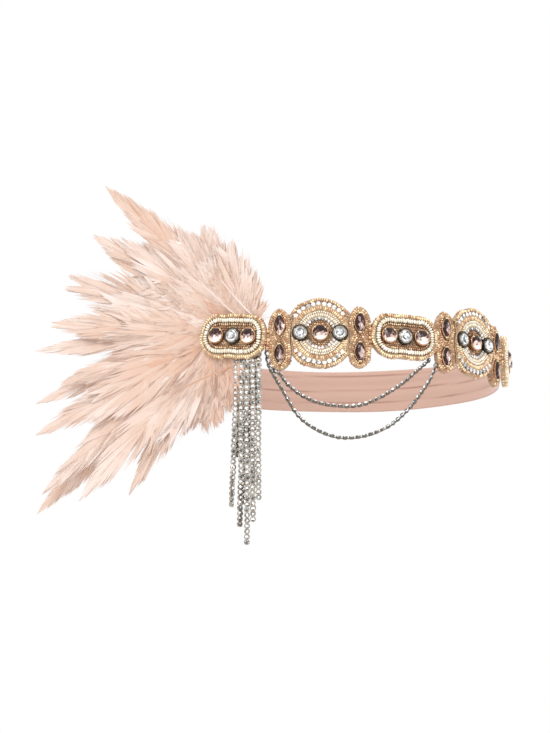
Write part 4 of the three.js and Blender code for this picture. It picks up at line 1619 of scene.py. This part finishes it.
def spread_feathers(layout, seed):
    """The fan: pointed feathers with the soft down before and between them."""
    sizes = layout.sizes
    rng = np.random.default_rng(seed)
    long_spike = cut_cone(3, 0, (0.38, 0.74))
    soft_spike = cut_cone(3, 0, (0.5,))
    leaf = leaf_shape()
    tube = cut_cone(6, 1, [step / 10 for step in range(1, 10)])
    pieces = []
    for index in range(3):
        plumage = Plumage(sizes, layout.side_seat())
        for row in HACKLES[index::3]:
            for feather in companions(sizes, row, rng):
                light = rng.uniform(0.48, 0.68)
                grow_barbs(plumage, feather, HACKLE_LOCKS, leaf, rng, light)
                grow_barbs(plumage, feather, HACKLE_BARBS, long_spike, rng, light)
                grow_shaft(plumage, feather, tube, 0.7)
        pieces.append(plumage.build(f"long_feathers_{index + 1}"))
    soft = list(down_feathers(sizes, rng))
    for index in range(2):
        plumage = Plumage(sizes, layout.side_seat())
        for feather in soft[index::2]:
            light = rng.uniform(0.52, 0.7) - (0.22 if feather.angle < -30 else 0)
            grow_barbs(plumage, feather, DOWN_LOCKS, leaf, rng, light)
            grow_barbs(plumage, feather, DOWN_BARBS, soft_spike, rng, light)
            grow_shaft(plumage, feather, tube, 0.72, 0.3)
        pieces.append(plumage.build(f"soft_down_{index + 1}"))
    plumage = Plumage(sizes, layout.side_seat())
    for quill in QUILLS:
        lay_quill(plumage, quill, tube)
    pieces.append(plumage.build("bare_quills"))
    for piece in pieces:
        wear(piece, "feather", "feather_plume")
    return pieces


# Operators, one for each group of pieces


def layout_now():
    return Layout(bpy.context.scene.headband_sizes)


def small_shapes(rng):
    return {"bead": bead_shape(), "crystal": crystal_shape(rng)}


class HEADBAND_OT_plates(bpy.types.Operator):
    """Finish the plates that the beads are sewn on"""

    bl_idname = "headband.plates"
    bl_label = "Gold Plates"

    def execute(self, context):
        for name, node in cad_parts.items():
            if name.endswith("_beadwork"):
                node.data.materials.clear()
                node.data.materials.append(finish_named("ground"))
        return {"FINISHED"}


class HEADBAND_OT_beads(bpy.types.Operator):
    """Sew the rows of gold, cream and crystal beads on the ornaments"""

    bl_idname = "headband.beads"
    bl_label = "Beads"

    def execute(self, context):
        layout = layout_now()
        rng = np.random.default_rng(11)
        shapes = small_shapes(rng)
        for ornament in layout.run:
            bead_ornament(layout, ornament, shapes, rng)
        sew_links(layout, shapes, rng)
        return {"FINISHED"}


class HEADBAND_OT_piping(bpy.types.Operator):
    """Ring each oval with its cream beads"""

    bl_idname = "headband.piping"
    bl_label = "Cream Piping"

    def execute(self, context):
        layout = layout_now()
        rng = np.random.default_rng(12)
        shapes = small_shapes(rng)
        for ornament in layout.run:
            if ornament.kind == "oval":
                pipe_oval(layout, ornament, shapes, rng)
        return {"FINISHED"}


class HEADBAND_OT_stones(bpy.types.Operator):
    """Set the cut stones in their cups"""

    bl_idname = "headband.stones"
    bl_label = "Stones"

    def execute(self, context):
        layout = layout_now()
        rng = np.random.default_rng(13)
        for ornament in layout.run:
            for stone in stone_seats(layout.sizes, ornament):
                set_stone(layout, ornament, stone, rng)
        return {"FINISHED"}


class HEADBAND_OT_elastic(bpy.types.Operator):
    """Gather the velvet elastic round the back"""

    bl_idname = "headband.elastic"
    bl_label = "Velvet Elastic"

    def execute(self, context):
        gather_elastic(layout_now())
        return {"FINISHED"}


class HEADBAND_OT_swags(bpy.types.Operator):
    """Hang the two stone chains below the run"""

    bl_idname = "headband.swags"
    bl_label = "Swags"

    def execute(self, context):
        layout = layout_now()
        sizes = layout.sizes
        rng = np.random.default_rng(14)
        start = -2 * layout.round_pitch - layout.oval_pitch - SWAG_INSET
        end = sizes.oval_length / 2 - sizes.oval_corner / 2 + SWAG_INSET
        names = ("chain_swag_upper", "chain_swag_lower")
        hang_swag(layout, names[0], start, end, sizes.upper_drop, UPPER_SWAG, rng, UPPER_SWAG_START)
        start = -layout.half_run + sizes.tassel_shift + TASSEL_HEAD_WIDTH / 2 + 1.2 * MM + sizes.link_gap
        end = layout.oval_pitch - sizes.column_width / 2 + SWAG_INSET
        hang_swag(layout, names[1], start, end, sizes.lower_drop, LOWER_SWAG, rng)
        return {"FINISHED"}


class HEADBAND_OT_tassel(bpy.types.Operator):
    """Hang the tassel of stone chains at the feather side"""

    bl_idname = "headband.tassel"
    bl_label = "Tassel"

    def execute(self, context):
        hang_tassel(layout_now(), np.random.default_rng(15))
        return {"FINISHED"}


class HEADBAND_OT_feathers(bpy.types.Operator):
    """Spread the fan of feathers behind the left oval"""

    bl_idname = "headband.feathers"
    bl_label = "Feathers"

    def execute(self, context):
        spread_feathers(layout_now(), 16)
        return {"FINISHED"}


# The studio

CAMERA_AZIMUTH = -9.664
CAMERA_ELEVATION = -12.381
CAMERA_DISTANCE = 2.0635
CAMERA_LENS = 174.3
LOOK_LEFT = 0.0322
LOOK_DOWN = 0.00104
FLOOR_HEIGHT = -0.62
FLOOR_HALF_WIDTH = 4
# Each lamp's name, place, size across and power
LAMPS = [
    ("key_light", (-0.9, -1.3, 0.9), 0.7, 12.0),
    ("fill_light", (1.3, -1.0, 0.3), 0.9, 6.0),
    ("top_light", (0.1, 0.2, 1.4), 0.8, 6.0),
]


class HEADBAND_OT_stage(bpy.types.Operator):
    """Set the camera, the soft lights and the pale floor"""

    bl_idname = "headband.stage"
    bl_label = "Studio"

    def execute(self, context):
        scene = context.scene
        azimuth, elevation = math.radians(CAMERA_AZIMUTH), math.radians(CAMERA_ELEVATION)
        back = Vector(
            (
                math.sin(azimuth) * math.cos(elevation),
                -math.cos(azimuth) * math.cos(elevation),
                math.sin(elevation),
            )
        )
        right = Vector((0, 0, 1)).cross(back).normalized()
        up = back.cross(right)
        data = bpy.data.cameras.new("camera")
        data.lens = CAMERA_LENS
        camera = bpy.data.objects.new("camera", data)
        scene.collection.objects.link(camera)
        camera.location = back * CAMERA_DISTANCE
        target = -right * LOOK_LEFT - up * LOOK_DOWN
        camera.rotation_mode = "QUATERNION"
        camera.rotation_quaternion = (target - camera.location).to_track_quat("-Z", "Y")
        scene.camera = camera
        scene.view_settings.view_transform = "Standard"

        bm = bmesh.new()
        lift = Matrix.Translation((0, 0, FLOOR_HEIGHT))
        bmesh.ops.create_grid(bm, x_segments=1, y_segments=1, size=FLOOR_HALF_WIDTH, matrix=lift)
        mesh = bpy.data.meshes.new("studio_floor")
        bm.to_mesh(mesh)
        bm.free()
        show("studio_floor", mesh, floor_finish())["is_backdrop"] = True

        for lamp in LAMPS:
            self.light(*lamp)
        self.fill_world(scene)
        return {"FINISHED"}

    def light(self, name, place, size, power):
        data = bpy.data.lights.new(name, "AREA")
        data.size = size
        data.energy = power
        lamp = bpy.data.objects.new(name, data)
        bpy.context.scene.collection.objects.link(lamp)
        lamp.location = place
        lamp.rotation_mode = "QUATERNION"
        lamp.rotation_quaternion = (-Vector(place)).to_track_quat("-Z", "Y")

    def fill_world(self, scene):
        """A plain white backdrop that lights the pieces from all round."""
        world = bpy.data.worlds.new("studio_white")
        world.use_nodes = True
        scene.world = world
        backdrop = next(node for node in world.node_tree.nodes if node.type == "BACKGROUND")
        backdrop.inputs["Color"].default_value = (1, 1, 1, 1)
        backdrop.inputs["Strength"].default_value = 1.0


STEPS = (
    HEADBAND_OT_plates,
    HEADBAND_OT_beads,
    HEADBAND_OT_piping,
    HEADBAND_OT_stones,
    HEADBAND_OT_elastic,
    HEADBAND_OT_swags,
    HEADBAND_OT_tassel,
    HEADBAND_OT_feathers,
    HEADBAND_OT_stage,
)


class HEADBAND_PT_panel(bpy.types.Panel):
    """The headband's steps and sizes"""

    bl_idname = "HEADBAND_PT_panel"
    bl_label = "Headband"
    bl_space_type = "VIEW_3D"
    bl_region_type = "UI"
    bl_category = "Headband"

    def draw(self, context):
        column = self.layout.column()
        for step in STEPS:
            column.operator(step.bl_idname)
        for group in (context.scene.headband_sizes, context.scene.headband_colours):
            for name in type(group).__annotations__:
                column.prop(group, name)


CLASSES = (HeadbandSizes, HeadbandColours, *STEPS, HEADBAND_PT_panel)


def register():
    for each in CLASSES:
        bpy.utils.register_class(each)
    bpy.types.Scene.headband_sizes = bpy.props.PointerProperty(type=HeadbandSizes)
    bpy.types.Scene.headband_colours = bpy.props.PointerProperty(type=HeadbandColours)


def unregister():
    del bpy.types.Scene.headband_colours
    del bpy.types.Scene.headband_sizes
    for each in reversed(CLASSES):
        bpy.utils.unregister_class(each)


def main():
    register()
    for step in STEPS:
        group, name = step.bl_idname.split(".")
        getattr(getattr(bpy.ops, group), name)()
    boxes = {"cad": cad_bounds, "visual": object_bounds()}
    {name: [list(corner) for corner in box] for name, box in boxes.items()}


if __name__ == "__main__":
    main()
